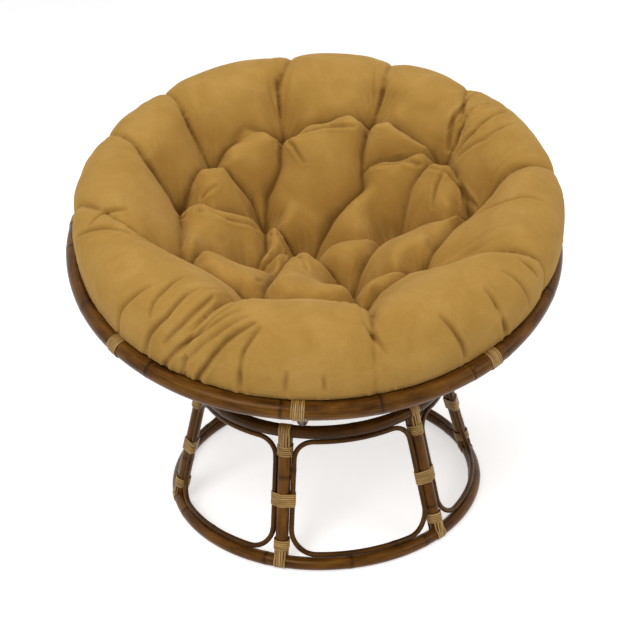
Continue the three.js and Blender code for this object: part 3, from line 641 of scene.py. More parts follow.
# Strands beside each other run over the rings, under the windings of the leg's upper and lower binding
STRAND_COUNT = 5
STRAND_WIDTH = 4.9 * MM
STRAND_SPACING = 1.05
LEG_BINDING_LENGTH = 26 * MM
LEG_BINDING_TURNS = 5
LEG_BINDING_SETBACK = 27 * MM
LEG_BINDING_SLANT = LEG_BINDING_SETBACK + LEG_BINDING_LENGTH / 2
MIDDLE_BINDING_LENGTH = 33 * MM
MIDDLE_BINDING_TURNS = 7
MIDDLE_BINDING_DROP = 4 * MM
# The strands at a leg's foot end under the floor ring, this far from its lowest line
STRAND_STOP = math.radians(38)
# The dish's ribs have pressed the strands flat where they slide over the seat ring
PRESSED_THICKNESS = 0.2 * MM


def ring_strands(azimuth, at_top, seed):
    """Strands side by side that run up the leg's outer side, over the ring and down its inner side."""
    ring_slant = SLANT_LENGTH if at_top else 0.0
    away = 1 if at_top else -1
    centre, along, side, out = leg_frame(azimuth, ring_slant)
    reach = STAND_POLE_RADIUS + SEAT_GAP
    to_sphere_centre = (Vector((0, 0, SPHERE_CENTRE_HEIGHT)) - centre).normalized()
    tail = LEG_BINDING_SETBACK + 0.5 * LEG_BINDING_LENGTH
    shapes = []
    for k in range(STRAND_COUNT):
        across = (k - (STRAND_COUNT - 1) / 2) * STRAND_WIDTH * STRAND_SPACING
        depth = math.sqrt(reach**2 - across**2)
        meet = math.asin(min(depth / reach, 1))
        start_angle = math.pi - meet

        def beside_leg(sign, depth=depth, bend=reach * math.cos(meet)):
            return [(-(tail - (tail - bend) * i / 6), sign * depth, 0.0, sign) for i in range(7)]

        def round_ring(sign, stop, steps, start=start_angle):
            turns = [start + (stop - start) * i / steps for i in range(1, steps + 1)]
            shares = [(math.cos(turn), sign * math.sin(turn)) for turn in turns]
            return [(reach * up, reach * out, up, out) for up, out in shares]

        if at_top:
            runs = [beside_leg(1) + round_ring(1, -start_angle, 26) + beside_leg(-1)[::-1]]
        else:
            runs = [beside_leg(sign) + round_ring(sign, STRAND_STOP, 10) for sign in (1, -1)]
        for n, run in enumerate(runs):
            stations = []
            for up, outwards, up_share, out_share in run:
                point = centre + along * (up * away) + out * outwards + side * across
                outward = (along * (up_share * away) + out * out_share).normalized()
                if at_top:
                    beside = 1 - outward.dot(to_sphere_centre)
                    outward *= min((PRESSED_THICKNESS + reach * beside) / STRIP_THICKNESS, 1)
                stations.append((point, outward, side))
            shapes.append(strip_shape(stations, STRAND_WIDTH, seed + 31 * k + n))
    return shapes


bindings = {
    "lower": (LEG_BINDING_SLANT, LEG_BINDING_LENGTH, LEG_BINDING_TURNS),
    "middle": (SLANT_LENGTH / 2 - MIDDLE_BINDING_DROP, MIDDLE_BINDING_LENGTH, MIDDLE_BINDING_TURNS),
    "upper": (SLANT_LENGTH - LEG_BINDING_SLANT, LEG_BINDING_LENGTH, LEG_BINDING_TURNS),
}
for index in range(LEG_COUNT):
    number = index + 1
    leg_azimuth = FIRST_LEG_AZIMUTH + LEG_PITCH * index
    leg = pole_shape(
        [on_cone(leg_azimuth, SLANT_LENGTH * i / 30) for i in range(31)],
        STAND_POLE_RADIUS,
        20 + index,
        28,
        start_cope=meets_ring(FLOOR_RING_RADIUS, FLOOR_RING_HEIGHT, STAND_POLE_RADIUS + SEAT_GAP),
        end_cope=meets_ring(SEAT_RING_RADIUS, SEAT_RING_HEIGHT, STAND_POLE_RADIUS + SEAT_GAP),
    )
    frame_piece(f"leg_pole_{number}", f"leg_{number}", leg, "stand", "pole")
    hoop = pole_shape(hoop_route(leg_azimuth + LEG_PITCH / 2), HOOP_CANE_RADIUS, 40 + index, 16, closed=True)
    frame_piece(f"window_cane_{number}", f"window_hoop_{number}", hoop, "stand", "hoop_cane")

    for place_number, (place_name, (slant, length, turns)) in enumerate(bindings.items()):
        seed = 100 + 10 * index + place_number

        def frame_here(along, slant=slant, azimuth=leg_azimuth):
            return leg_frame(azimuth, slant + along)

        if place_name == "middle":
            wound = wound_shape(frame_here, three_pole_directions, three_pole_support, length, turns, seed)
        else:
            over_strands = STAND_POLE_RADIUS + 2 * SEAT_GAP + STRIP_THICKNESS
            wound = wound_shape(frame_here, even_directions, lambda angle: over_strands, length, turns, seed)
            wound = join_shapes([wound] + ring_strands(leg_azimuth, place_name == "upper", seed))
        frame_piece(f"{place_name}_cane_{number}", f"{place_name}_binding_{number}", wound, "stand", "cane")

# Dish

RIM_JOINT_AZIMUTH = math.radians(-60)
rim = pole_shape(circle_route(RIM_RADIUS, 0, RIM_JOINT_AZIMUTH), RIM_POLE_RADIUS, 7, 32, closed=True)
frame_piece("rim_pole", "rim", rim, "dish", "pole")

RIM_BINDING_LENGTH = 30 * MM
RIM_BINDING_TURNS = 7
RIB_END_POLAR = BOTTOM_HOOP_POLAR - RIB_TAIL_LENGTH / RIB_SPHERE_RADIUS
for index in range(RIB_COUNT):
    number = index + 1
    rib_azimuth = FIRST_RIB_AZIMUTH + 2 * math.pi * index / RIB_COUNT
    polars = [RIB_END_POLAR + (RIM_POLAR - RIB_END_POLAR) * i / 80 for i in range(81)]
    rib = pole_shape(
        [on_sphere(rib_azimuth, polar, RIB_SPHERE_RADIUS) for polar in polars],
        RIB_POLE_RADIUS,
        60 + index,
        20,
        end_cope=meets_ring(RIM_RADIUS, 0, RIM_POLE_RADIUS + STRIP_THICKNESS + 2 * SEAT_GAP),
    )
    frame_piece(f"rib_pole_{number}", f"rib_{number}", rib, "dish", "dark_pole")

    def rim_frame(along, azimuth=rib_azimuth):
        here = azimuth + along / RIM_RADIUS
        return around(here, RIM_RADIUS), around(here + math.pi / 2, -1), around(here, 1), Vector((0, 0, 1))

    wound = wound_shape(
        rim_frame,
        even_directions,
        lambda angle: RIM_POLE_RADIUS + SEAT_GAP,
        RIM_BINDING_LENGTH,
        RIM_BINDING_TURNS,
        200 + index,
    )
    frame_piece(f"rim_cane_{number}", f"rim_binding_{number}", wound, "dish", "cane")

for hoop_name, polar, seed in (("middle_hoop", MIDDLE_HOOP_POLAR, 81), ("bottom_hoop", BOTTOM_HOOP_POLAR, 83)):
    place = on_sphere(0, polar, INNER_SPHERE_RADIUS)
    route = circle_route(place.x, place.z, FIRST_RIB_AZIMUTH)
    hoop = pole_shape(route, DISH_HOOP_RADIUS, seed, 18, closed=True)
    frame_piece(f"{hoop_name}_pole", hoop_name, hoop, "dish", "dark_pole")

bottom_hoop = on_sphere(0, BOTTOM_HOOP_POLAR, INNER_SPHERE_RADIUS)
cope = meets_ring(bottom_hoop.x, bottom_hoop.z, DISH_HOOP_RADIUS + SEAT_GAP)
for slat_name, offset, seed in (
    ("slat_left", -SLAT_SPACING, 91),
    ("slat_centre", 0, 92),
    ("slat_right", SLAT_SPACING, 93),
):
    arc_radius = math.sqrt(INNER_SPHERE_RADIUS**2 - offset**2)
    reach = math.sqrt(bottom_hoop.x**2 - offset**2)
    route = []
    for i in range(41):
        across = reach * (i / 20 - 1)
        route.append(Vector((offset, across, SPHERE_RISE - math.sqrt(arc_radius**2 - across**2))))
    slat = pole_shape(route, SLAT_RADIUS, seed, 16, start_cope=cope, end_cope=cope)
    frame_piece(f"{slat_name}_stick", slat_name, slat, "dish", "dark_pole")

# Cushion

CUSHION_MIDDLE = Vector((13, 37)) * MM
CUSHION_RADIUS = 530 * MM
ROLL_RADIUS = 86 * MM
ROLL_HEIGHT = 27 * MM
ROLL_RISE = 14 * MM
CREST_HEIGHT = 98 * MM
CREST_FALL = 22 * MM
SEAM_DEPTH = 44 * MM
SEAM_WIDTH = 75 * MM
SEAM_EDGE_SHARE = 0.16
FRONT_EDGE_SETBACK = 8 * MM
EDGE_TUCK = 3 * MM
LOBE_CROWN = 84 * MM
TUFT_REACH = 48 * MM
CREASE_REACH = 62 * MM
TUFT_PULL = 0.95
RIM_CLEARANCE = 4 * MM
RIB_CLEARANCE = 3 * MM
EDGE_LIFT = 5 * MM

# Each tuft's place in shares of the rim's radius: right, back and up from the rim's plane
tuft_shares = {
    "back_right": (0.329, 0.658, 0.035),
    "back_middle": (-0.078, 0.687, -0.029),
    "back_left": (-0.422, 0.533, -0.049),
    "left_back": (-0.570, 0.307, -0.107),
    "left_front": (-0.562, -0.161, -0.054),
    "front_left": (-0.257, -0.447, -0.054),
    "front_middle": (0.126, -0.496, -0.054),
    "front_right": (0.409, -0.276, -0.054),
    "right_front": (0.698, 0.074, -0.068),
    "right_back": (0.621, 0.387, 0.0),
    "inner_back": (-0.196, 0.354, -0.282),
    "inner_left": (-0.286, -0.002, -0.288),
    "inner_front": (0.128, -0.179, -0.276),
    "inner_right": (0.370, 0.165, -0.302),
    "middle": (-0.019, 0.195, -0.379),
}
outer_names = list(tuft_shares)[:10]

# The azimuth at which each outer tuft's seam passes over the edge
seam_edge_azimuths = (64, 92, 130, 152, 181, 237, 276, 325, 361, 401)

# Creases: how far each one is drawn in, from 0 to 1, the tufts it joins and the bends between them
crease_share_routes = (
    (0.85, "back_right", (0.261, 0.482), (0.252, 0.388), (0.181, 0.356), (0.109, 0.319), "middle"),
    (0.85, "back_middle", (-0.111, 0.532), (-0.177, 0.466), "inner_back"),
    (0.8, "back_left", (-0.321, 0.454), (-0.247, 0.441), "inner_back"),
    (0.8, "inner_back", (-0.113, 0.262), "middle"),
    (0.8, "inner_back", (-0.206, 0.136), "inner_left"),
    (0.75, "left_front", (-0.431, -0.017), (-0.32, -0.015), "inner_left"),
    (0.6, "front_left", (-0.172, -0.087), "middle"),
    (0.7, "inner_left", "middle"),
    (0.8, "front_middle", "inner_front", (0.098, -0.1), (0.016, 0.0), "middle"),
    (0.8, "middle", (0.092, 0.177), (0.199, 0.131), "inner_right"),
    (0.8, "inner_right", (0.479, 0.123), (0.566, 0.034), "right_front"),
    (0.8, "right_back", (0.47, 0.432), (0.338, 0.455), (0.274, 0.445)),
    (0.55, "right_back", (0.456, 0.292), "inner_right"),
    (0.75, "front_right", (0.303, -0.282), "inner_front"),
    (0.5, "inner_right", "inner_front"),
    (0.5, "left_back", (-0.419, 0.244), "inner_back"),
    (0.5, "back_right", (0.176, 0.66), (0.04, 0.68), "back_middle"),
    (0.45, "back_middle", (-0.26, 0.66), "back_left"),
    (0.55, "back_left", "left_back"),
    (0.5, "left_back", "left_front"),
    (0.5, "left_front", "front_left"),
    (0.6, "front_left", "front_middle"),
    (0.6, "front_middle", "front_right"),
    (0.55, "front_right", "right_front"),
    (0.55, "right_front", "right_back"),
    (0.5, "right_back", "back_right"),
)

tufts = {name: Vector(share) * RIM_RADIUS for name, share in tuft_shares.items()}
outer_tufts = [tufts[name] for name in outer_names]
all_tufts = list(tufts.values())
middle_tuft = tufts["middle"]
tuft_plan = np.array([(t.x, t.y) for t in all_tufts])
tuft_heights = np.array([t.z for t in all_tufts])


def crease_segments():
    """Each straight stretch of a crease: its two ends, and how far it is drawn in at each end."""
    segments = []
    for pull, *stops in crease_share_routes:
        places = []
        for stop in stops:
            if isinstance(stop, str):
                places.append(((tufts[stop].x, tufts[stop].y), TUFT_PULL))
            else:
                places.append(((stop[0] * RIM_RADIUS, stop[1] * RIM_RADIUS), pull))
        if len(places) == 2:
            middle_stop = tuple((a + b) / 2 for a, b in zip(places[0][0], places[1][0]))
            places.insert(1, (middle_stop, pull))
        segments += [(a, b, pull_a, pull_b) for (a, pull_a), (b, pull_b) in zip(places, places[1:])]
    return segments


segments = crease_segments()
crease_starts = np.array([a for a, b, pull_a, pull_b in segments])
crease_ends = np.array([b for a, b, pull_a, pull_b in segments])
start_pulls = np.array([pull_a for a, b, pull_a, pull_b in segments])
end_pulls = np.array([pull_b for a, b, pull_a, pull_b in segments])


def crease_gaps(x, y):
    """The distance to each stretch of crease, and how far that stretch is drawn in there."""
    run = crease_ends - crease_starts
    off = np.array((x, y)) - crease_starts
    share = np.clip((off * run).sum(1) / (run**2).sum(1), 0, 1)
    return np.hypot(*(off - run * share[:, None]).T), start_pulls + (end_pulls - start_pulls) * share


def pillow_share(distance_share):
    """How far a stuffed lobe has risen: steep beside its crease and level over its middle."""
    return np.sqrt(1 - (1 - np.minimum(distance_share, 1)) ** 2)


def top_height(x, y):
    """The cushion's top: it passes through every tuft and swells between the creases."""
    distances = np.hypot(*(tuft_plan - (x, y)).T)
    weights = 1 / ((distances / RIM_RADIUS) ** 3 + 1e-6)
    level = float((weights * tuft_heights).sum() / weights.sum())
    tuft_pull = bell(distances.min(), TUFT_REACH)
    gaps, pulls = crease_gaps(x, y)
    drawn = float((pulls * (1 - pillow_share(gaps / CREASE_REACH))).max())
    return level + LOBE_CROWN * (1 - max(tuft_pull, drawn))


OVER_RIM_RADIUS = RIM_POLE_RADIUS + RIM_CLEARANCE
WRAP_END = math.radians(105)
RIB_SWELL_RADIUS = RIB_SPHERE_RADIUS - RIB_POLE_RADIUS - RIB_CLEARANCE


def rim_wrap(reach_start, share):
    """A place on the cushion's underside where it passes over the rim and down the rim's inner side."""
    beyond = reach_start - RIM_RADIUS
    if beyond > 0:
        first = -beyond
    else:
        first = OVER_RIM_RADIUS * (math.acos(max(beyond / OVER_RIM_RADIUS, -1)) - math.pi / 2)
    last = OVER_RIM_RADIUS * WRAP_END
    place = first + (last - first) * share
    if place < 0:
        return RIM_RADIUS - place, OVER_RIM_RADIUS
    angle = math.pi / 2 + place / OVER_RIM_RADIUS
    return RIM_RADIUS + OVER_RIM_RADIUS * math.cos(angle), OVER_RIM_RADIUS * math.sin(angle)


LOBE_STEPS = 28
INNER_RING_COUNT = 40
INNER_RING_CROWDING = 0.9
# The roll's section turns from level at its edge to this far over its inner side
ROLL_TURN = 142
ROLL_TURN_STEP = 6
# The section has turned from its tuft's azimuth to its edge's azimuth after this share of the roll
TWIST_SHARE = 0.75
WRAP_COUNT = 9
roll_angles = [math.radians(a) for a in range(ROLL_TURN, -1, -ROLL_TURN_STEP)]
middle_edge_azimuths = [math.radians(a) for a in seam_edge_azimuths]

# The underside between the rim and the dish's bottom: it sags between the hoops, almost to the ribs
under_rows = (
    (58, RIB_SWELL_RADIUS),
    (54, RIB_SWELL_RADIUS),
    (50, RIB_SWELL_RADIUS),
    (46, RIB_SWELL_RADIUS - 3 * MM),
    (42.2, CUSHION_SPHERE_RADIUS),
    (40, CUSHION_SPHERE_RADIUS),
    (37.8, CUSHION_SPHERE_RADIUS),
    (34, RIB_SWELL_RADIUS - 5 * MM),
    (30, RIB_SWELL_RADIUS - 3 * MM),
    (25, RIB_SWELL_RADIUS - 3 * MM),
    (20, RIB_SWELL_RADIUS - 5 * MM),
    (17.2, CUSHION_SPHERE_RADIUS),
    (12, CUSHION_SPHERE_RADIUS),
    (6, CUSHION_SPHERE_RADIUS),
)


def cushion_section(lobe, step):
    """One curved line over the cushion, from beside the middle tuft, over the roll and back under."""
    following = (lobe + 1) % len(outer_tufts)
    share = step / LOBE_STEPS
    start = Vector((outer_tufts[lobe].x, outer_tufts[lobe].y)) - CUSHION_MIDDLE
    end = Vector((outer_tufts[following].x, outer_tufts[following].y)) - CUSHION_MIDDLE
    start_angle = math.atan2(start.y, start.x)
    sweep = (math.atan2(end.y, end.x) - start_angle) % (2 * math.pi)
    tuft_angle = start_angle + sweep * share
    tuft_reach = start.length + (end.length - start.length) * share
    edge_start = middle_edge_azimuths[lobe]
    edge_sweep = (middle_edge_azimuths[following] - edge_start) % (2 * math.pi)
    edge_angle = edge_start + edge_sweep * share
    twist = (edge_angle - tuft_angle + math.pi) % (2 * math.pi) - math.pi
    from_seam = min(share, 1 - share) * edge_sweep * CUSHION_RADIUS
    drawn = 1 - pillow_share(from_seam / SEAM_WIDTH)
    section = []
    ring_point = Vector((math.cos(tuft_angle), math.sin(tuft_angle))) * tuft_reach + CUSHION_MIDDLE
    middle = Vector((middle_tuft.x, middle_tuft.y))
    for i in range(1, INNER_RING_COUNT + 1):
        place = middle.lerp(ring_point, (i / INNER_RING_COUNT) ** INNER_RING_CROWDING)
        section.append(Vector((place.x, place.y, top_height(place.x, place.y))))
    roll_middle = CUSHION_RADIUS - ROLL_RADIUS
    edge_direction = Vector((math.cos(edge_angle), math.sin(edge_angle)))

    def roll_radius_at(angle):
        turned_in = (angle / math.radians(ROLL_TURN)) ** 2
        return ROLL_RADIUS - SEAM_DEPTH * drawn * (SEAM_EDGE_SHARE + (1 - SEAM_EDGE_SHARE) * turned_in)

    edge = edge_direction * (roll_middle + roll_radius_at(0)) + CUSHION_MIDDLE
    if edge.length < RIM_RADIUS - FRONT_EDGE_SETBACK:
        edge = edge.normalized() * (RIM_RADIUS - FRONT_EDGE_SETBACK)
    under_angle = math.atan2(edge.y, edge.x)
    _, rim_top = rim_wrap(edge.length, 0)
    roll_height = max(ROLL_HEIGHT + ROLL_RISE * edge_direction.y, rim_top + EDGE_LIFT)
    for k, angle in enumerate(roll_angles):
        turned = tuft_angle + twist * min((k + 2) / (len(roll_angles) * TWIST_SHARE), 1)
        direction = Vector((math.cos(turned), math.sin(turned)))
        radius = roll_radius_at(angle)
        crest = radius * (CREST_HEIGHT - CREST_FALL * direction.y) / ROLL_RADIUS
        place = direction * (roll_middle + radius * math.cos(angle)) + CUSHION_MIDDLE
        outer_share = max(math.cos(angle), 0) ** 2
        place = place.lerp(edge, outer_share) if outer_share > 0 and edge.length > place.length else place
        section.append(Vector((place.x, place.y, roll_height + crest * math.sin(angle))))
    for i in range(WRAP_COUNT):
        reach, height = rim_wrap(edge.length - EDGE_TUCK, i / (WRAP_COUNT - 1))
        section.append(around(under_angle, reach, height))
    for polar, radius in under_rows:
        section.append(on_sphere(under_angle, math.radians(polar), radius))
    return section


def cushion_shell():
    """The cushion's closed shape before it is swelled: its sections, joined all round."""
    sections = [cushion_section(lobe, step) for lobe in range(len(outer_tufts)) for step in range(LOBE_STEPS)]
    per_section = len(sections[0])
    points = [middle_tuft.copy(), Vector((0, 0, SPHERE_RISE - CUSHION_SPHERE_RADIUS))]
    points += [p for section in sections for p in section]
    faces = []
    for i in range(len(sections)):
        here = 2 + i * per_section
        following = 2 + (i + 1) % len(sections) * per_section
        faces.append((0, here, following))
        faces.append((1, following + per_section - 1, here + per_section - 1))
        for k in range(1, per_section):
            faces.append((here + k - 1, here + k, following + k, following + k - 1))
    return points, faces


CLOTH_VOXEL = 7 * MM
CLOTH_FRAMES = 20
CLOTH_CAP = 16 * MM
# The cloth starts this far inside its wanted shape, and the pressure brings it back out
START_INSET = 5 * MM
# The filling evens out swellings narrower than about 25 mm
SWELL_ROUNDS = 12
RIM_HOLD_REACH = 4 * MM
HOOP_HOLD_REACH = 12 * MM
TUFT_HOLD_REACH = 11 * MM
SEAM_HOLD_START = 280 * MM
CREASE_HOLD_REACH = 4 * MM
CREASE_HOLD = 0.6
LEAST_CREASE_HOLD = 0.5
CREASE_HOLD_DROP = 10 * MM

# The cover's knit is cut 3 percent too large, and the filling's pressure swells it
cover_cloth = {
    "quality": 5,
    "mass": 0.3,
    "tension_stiffness": 12,
    "compression_stiffness": 12,
    "shear_stiffness": 6,
    "bending_stiffness": 0.35,
    "air_damping": 3,
    "use_pressure": True,
    "uniform_pressure_force": 4.0,
    "vertex_group_mass": "held",
    "shrink_min": -0.03,
}


def vertex_values(mesh, key):
    """The co or the normal of every point, one row each."""
    values = np.empty(len(mesh.vertices) * 3, dtype=np.float32)
    mesh.vertices.foreach_get(key, values)
    return values.reshape(-1, 3).astype(np.float64)


def set_coordinates(mesh, values):
    mesh.vertices.foreach_set("co", values.astype(np.float32).ravel())
    mesh.update()


def averaged(mesh, values, rounds):
    """Each point's value shared out with its neighbours, several times over."""
    edges = np.empty(len(mesh.edges) * 2, dtype=np.int32)
    mesh.edges.foreach_get("vertices", edges)
    a, b = edges.reshape(-1, 2).T
    count = np.bincount(a, minlength=len(values)) + np.bincount(b, minlength=len(values))
    for _ in range(rounds):
        total = np.zeros_like(values)
        np.add.at(total, a, values[b])
        np.add.at(total, b, values[a])
        values = total / count[:, None]
    return values


def apply_modifier(obj, modifier):
    bpy.context.view_layer.objects.active = obj
    depsgraph = bpy.context.evaluated_depsgraph_get()
    shaped = bpy.data.meshes.new_from_object(obj.evaluated_get(depsgraph))
    obj.modifiers.remove(modifier)
    old = obj.data
    obj.data = shaped
    bpy.data.meshes.remove(old)


def soften(obj, rounds):
    smooth = obj.modifiers.new("soften", "SMOOTH")
    smooth.factor = 0.5
    smooth.iterations = rounds
    apply_modifier(obj, smooth)


def resting_on_frame(p):
    """True where the cushion lies on the hoops or over the rim, so the cloth is held there."""
    reach = math.hypot(p.x, p.y)
    from_rim = math.hypot(reach - RIM_RADIUS, p.z)
    from_centre = math.hypot(reach, p.z - SPHERE_RISE)
    on_hoops = p.z < 0 and from_centre > CUSHION_SPHERE_RADIUS - HOOP_HOLD_REACH
    return from_rim < OVER_RIM_RADIUS + RIM_HOLD_REACH or on_hoops


def seam_tree():
    """The sewn lines from the outer tufts over the roll to the edge, to find how near a place is to one in plan."""
    first, last = INNER_RING_COUNT - 1, INNER_RING_COUNT + len(roll_angles)
    seam_points = []
    for lobe in range(len(outer_tufts)):
        route, _ = spaced_route(cushion_section(lobe, 0)[first:last], 3 * MM, False)
        seam_points += route
    tree = KDTree(len(seam_points))
    for i, p in enumerate(seam_points):
        tree.insert((p.x, p.y, 0), i)
    tree.balance()
    return tree


def crease_hold(p, seams):
    """How firmly the stitching and the filling's own fold hold the cover down near a crease or seam."""
    hold = 0.0
    if (Vector((p.x, p.y)) - CUSHION_MIDDLE).length > SEAM_HOLD_START:
        _, _, gap = seams.find((p.x, p.y, 0))
        hold = CREASE_HOLD if gap < CREASE_HOLD_REACH else 0.0
    gaps, pulls = crease_gaps(p.x, p.y)
    close = gaps < CREASE_HOLD_REACH
    crease = float(pulls[close].max()) * CREASE_HOLD if close.any() else 0.0
    return max(hold, crease if crease > LEAST_CREASE_HOLD else 0.0)


def inflate(cover):
    """Swells the cover by cloth under pressure, held at tufts, creases, seams and where it lies on the frame."""
    soften(cover, 2)
    start = vertex_values(cover.data, "co")
    normals = vertex_values(cover.data, "normal")
    held = cover.vertex_groups.new(name="held")
    seams = seam_tree()
    inset = np.zeros(len(start))
    for i, co in enumerate(start):
        p = Vector(co)
        near = min((p - t).length for t in all_tufts)
        weight = 0.0
        if near < TUFT_HOLD_REACH or resting_on_frame(p):
            weight = 1.0
        elif p.z > tuft_heights.min() - CREASE_HOLD_DROP and normals[i][2] > 0:
            weight = crease_hold(p, seams)
        held.add([i], weight, "REPLACE")
        inset[i] = 0.0 if weight == 1 else START_INSET * min(near / TUFT_REACH, 1)
    set_coordinates(cover.data, start - normals * inset[:, None])
    cloth = cover.modifiers.new("stuffing", "CLOTH")
    for key, value in cover_cloth.items():
        setattr(cloth.settings, key, value)
    cloth.settings.effector_weights.gravity = 0.0
    cloth.collision_settings.use_collision = False
    cloth.collision_settings.use_self_collision = False
    cloth.point_cache.frame_start = 1
    cloth.point_cache.frame_end = CLOTH_FRAMES
    scene = bpy.context.scene
    for number in range(1, CLOTH_FRAMES + 1):
        scene.frame_set(number)
    apply_modifier(cover, cloth)
    scene.frame_set(1)
    step = vertex_values(cover.data, "co") - start
    share = np.minimum(1, CLOTH_CAP / np.maximum(np.linalg.norm(step, axis=1), 1e-9))
    set_coordinates(cover.data, start + averaged(cover.data, step * share[:, None], SWELL_ROUNDS))
    cover.vertex_groups.clear()


def make_cushion():
    """The stuffed cover in the dish's own frame: the shell, evened into small faces, swelled and made finer."""
    points, faces = cushion_shell()
    mesh = bpy.data.meshes.new("cushion_cover")
    mesh.from_pydata([tuple(p) for p in points], [], faces)
    mesh.validate()
    cover = bpy.data.objects.new("cushion_cover", mesh)
    bpy.context.scene.collection.objects.link(cover)
    outward = bmesh.new()
    outward.from_mesh(mesh)
    bmesh.ops.recalc_face_normals(outward, faces=outward.faces)
    outward.to_mesh(mesh)
    outward.free()
    remesh = cover.modifiers.new("even_faces", "REMESH")
    remesh.mode = "VOXEL"
    remesh.voxel_size = CLOTH_VOXEL
    apply_modifier(cover, remesh)
    inflate(cover)
    finer = cover.modifiers.new("finer", "SUBSURF")
    finer.levels = 1
    finer.render_levels = 1
    apply_modifier(cover, finer)
    return cover


# Fine gathers run out from a tuft, where the cover is drawn in: tuft, azimuth, spread, reach and count
gather_fans = (
    ("front_right", -38, 60, 150, 9),
    ("front_left", -132, 44, 165, 10),
    ("front_middle", -95, 40, 130, 7),
    ("right_back", 25, 70, 130, 9),
    ("right_front", -8, 40, 120, 6),
    ("back_right", 60, 50, 110, 6),
    ("back_middle", 95, 40, 110, 5),
    ("back_left", 133, 50, 110, 6),
    ("left_back", 150, 50, 120, 6),
    ("left_front", 185, 50, 130, 7),
)
GATHER_DEPTH = 2.6 * MM
GATHER_START = 20 * MM
PUCKER_DEPTH = 0.9 * MM
PUCKER_REACH = 55 * MM
PUCKER_START = 18 * MM
SEAM_GROOVE_DEPTH = 3.2 * MM
SEAM_GROOVE_WIDTH = 4.5 * MM
SEAM_GROOVE_START = 300 * MM

# Single folds where the cover is slack: depth in mm, then places in thousandths of the rim's radius
slack_folds = (
    (6, (-290, -798, 271), (-389, -830, 228), (-482, -849, 101), (-514, -803, -18)),
    (5, (-273, -820, 266), (-330, -871, 213), (-346, -893, 9)),
    (4, (-369, -701, 268), (-496, -769, 211), (-594, -776, 116), (-648, -679, -53)),
    (4, (-428, -625, 252), (-542, -729, 228), (-616, -737, 139)),
    (5, (-487, -592, 268), (-602, -685, 224), (-670, -694, 153), (-692, -685, 58)),
    (4, (-536, -510, 252), (-649, -621, 235), (-665, -657, 204)),
    (4, (-660, -546, 250), (-766, -572, 183), (-797, -565, 54)),
    (3, (-312, -766, 275), (-423, -801, 228), (-541, -800, 109), (-559, -801, 40)),
    (3, (-334, -730, 276), (-458, -769, 225), (-574, -781, 145)),
    (5, (576, -694, 254), (610, -735, 205), (654, -693, -19)),
    (5, (389, -810, 249), (441, -849, 197), (482, -849, 70)),
    (3, (651, -599, 260), (719, -631, 215), (765, -646, 121)),
    (4, (738, -528, 240), (801, -568, 184)),
    (4, (638, 414, 65), (667, 492, 170), (797, 642, 209)),
    (4, (657, 398, 76), (708, 456, 138), (828, 505, 238)),
    (4, (650, 359, 78), (728, 355, 200), (883, 443, 233)),
    (3, (659, 330, 90), (759, 286, 204), (898, 343, 240)),
    (3, (642, 464, 138), (685, 521, 193)),
    (4, (587, 250, 74), (545, 201, 33), (525, 126, -16)),
    (5, (595, 251, 73), (661, 192, 22), (692, 69, -11)),
    (4, (-558, 185, -29), (-475, 296, -14), (-400, 336, 4)),
    (4, (-551, 183, -27), (-366, 182, -61), (-238, 211, -144)),
    (4, (-903, -137, 217), (-842, -47, 206), (-760, -43, 222)),
    (4, (-960, -147, 178), (-833, -181, 239), (-741, -218, 237)),
    (4, (-48, -158, -76), (-104, 160, -258), (-180, 232, -206)),
    (3, (-52, -209, -47), (-134, -212, -37), (-260, -315, 33)),
    (3, (-6, 484, -2), (-45, 544, 40), (-79, 599, 39)),
    (4, (-70, 604, 54), (97, 602, 88), (227, 551, 124)),
    (3, (659, -116, 135), (739, -160, 217), (815, -169, 253), (903, -199, 252)),
    (3, (304, 421, -7), (435, 398, 29), (573, 256, 80)),
    (3, (109, -825, 257), (145, -877, 221), (175, -926, 201)),
    (3, (-56, -969, 150), (-50, -972, 82)),
    (3, (-185, -948, 159), (-190, -956, 71)),
)
FOLD_PRESS = 1.3
FOLD_WIDTH = 4.6 * MM
FOLD_RIDGE_AWAY = 10 * MM
FOLD_RIDGE_WIDTH = 5.5 * MM
FOLD_RIDGE_SHARE = 0.5
FOLD_FIND_HEIGHT = 45 * MM
FOLD_WAVER = 3 * MM
# noise_vector starts from the clock where no seed is set, so the folds would wander another way each run
FOLD_WAVER_SEED = 11
# The painted shade line along a fold: its width, and the fold strength at which it is darkest
FOLD_SHADE_LINE_WIDTH = 3.5 * MM
FOLD_SHADE_LINE_DEPTH = 7 * MM
TUFT_DRAW_WIDTH = 34 * MM
TUFT_FIND_REACH = 8 * MM
CREASE_DRAW = 9 * MM
CREASE_DRAW_WIDTH = 13 * MM
CREASE_PINCH = 7 * MM
CREASE_PINCH_WIDTH = 5.5 * MM
# How dark the painted shade lines along folds and creases are
FOLD_LINE_SHADE = 0.75
CREASE_LINE_SHADE = 0.8


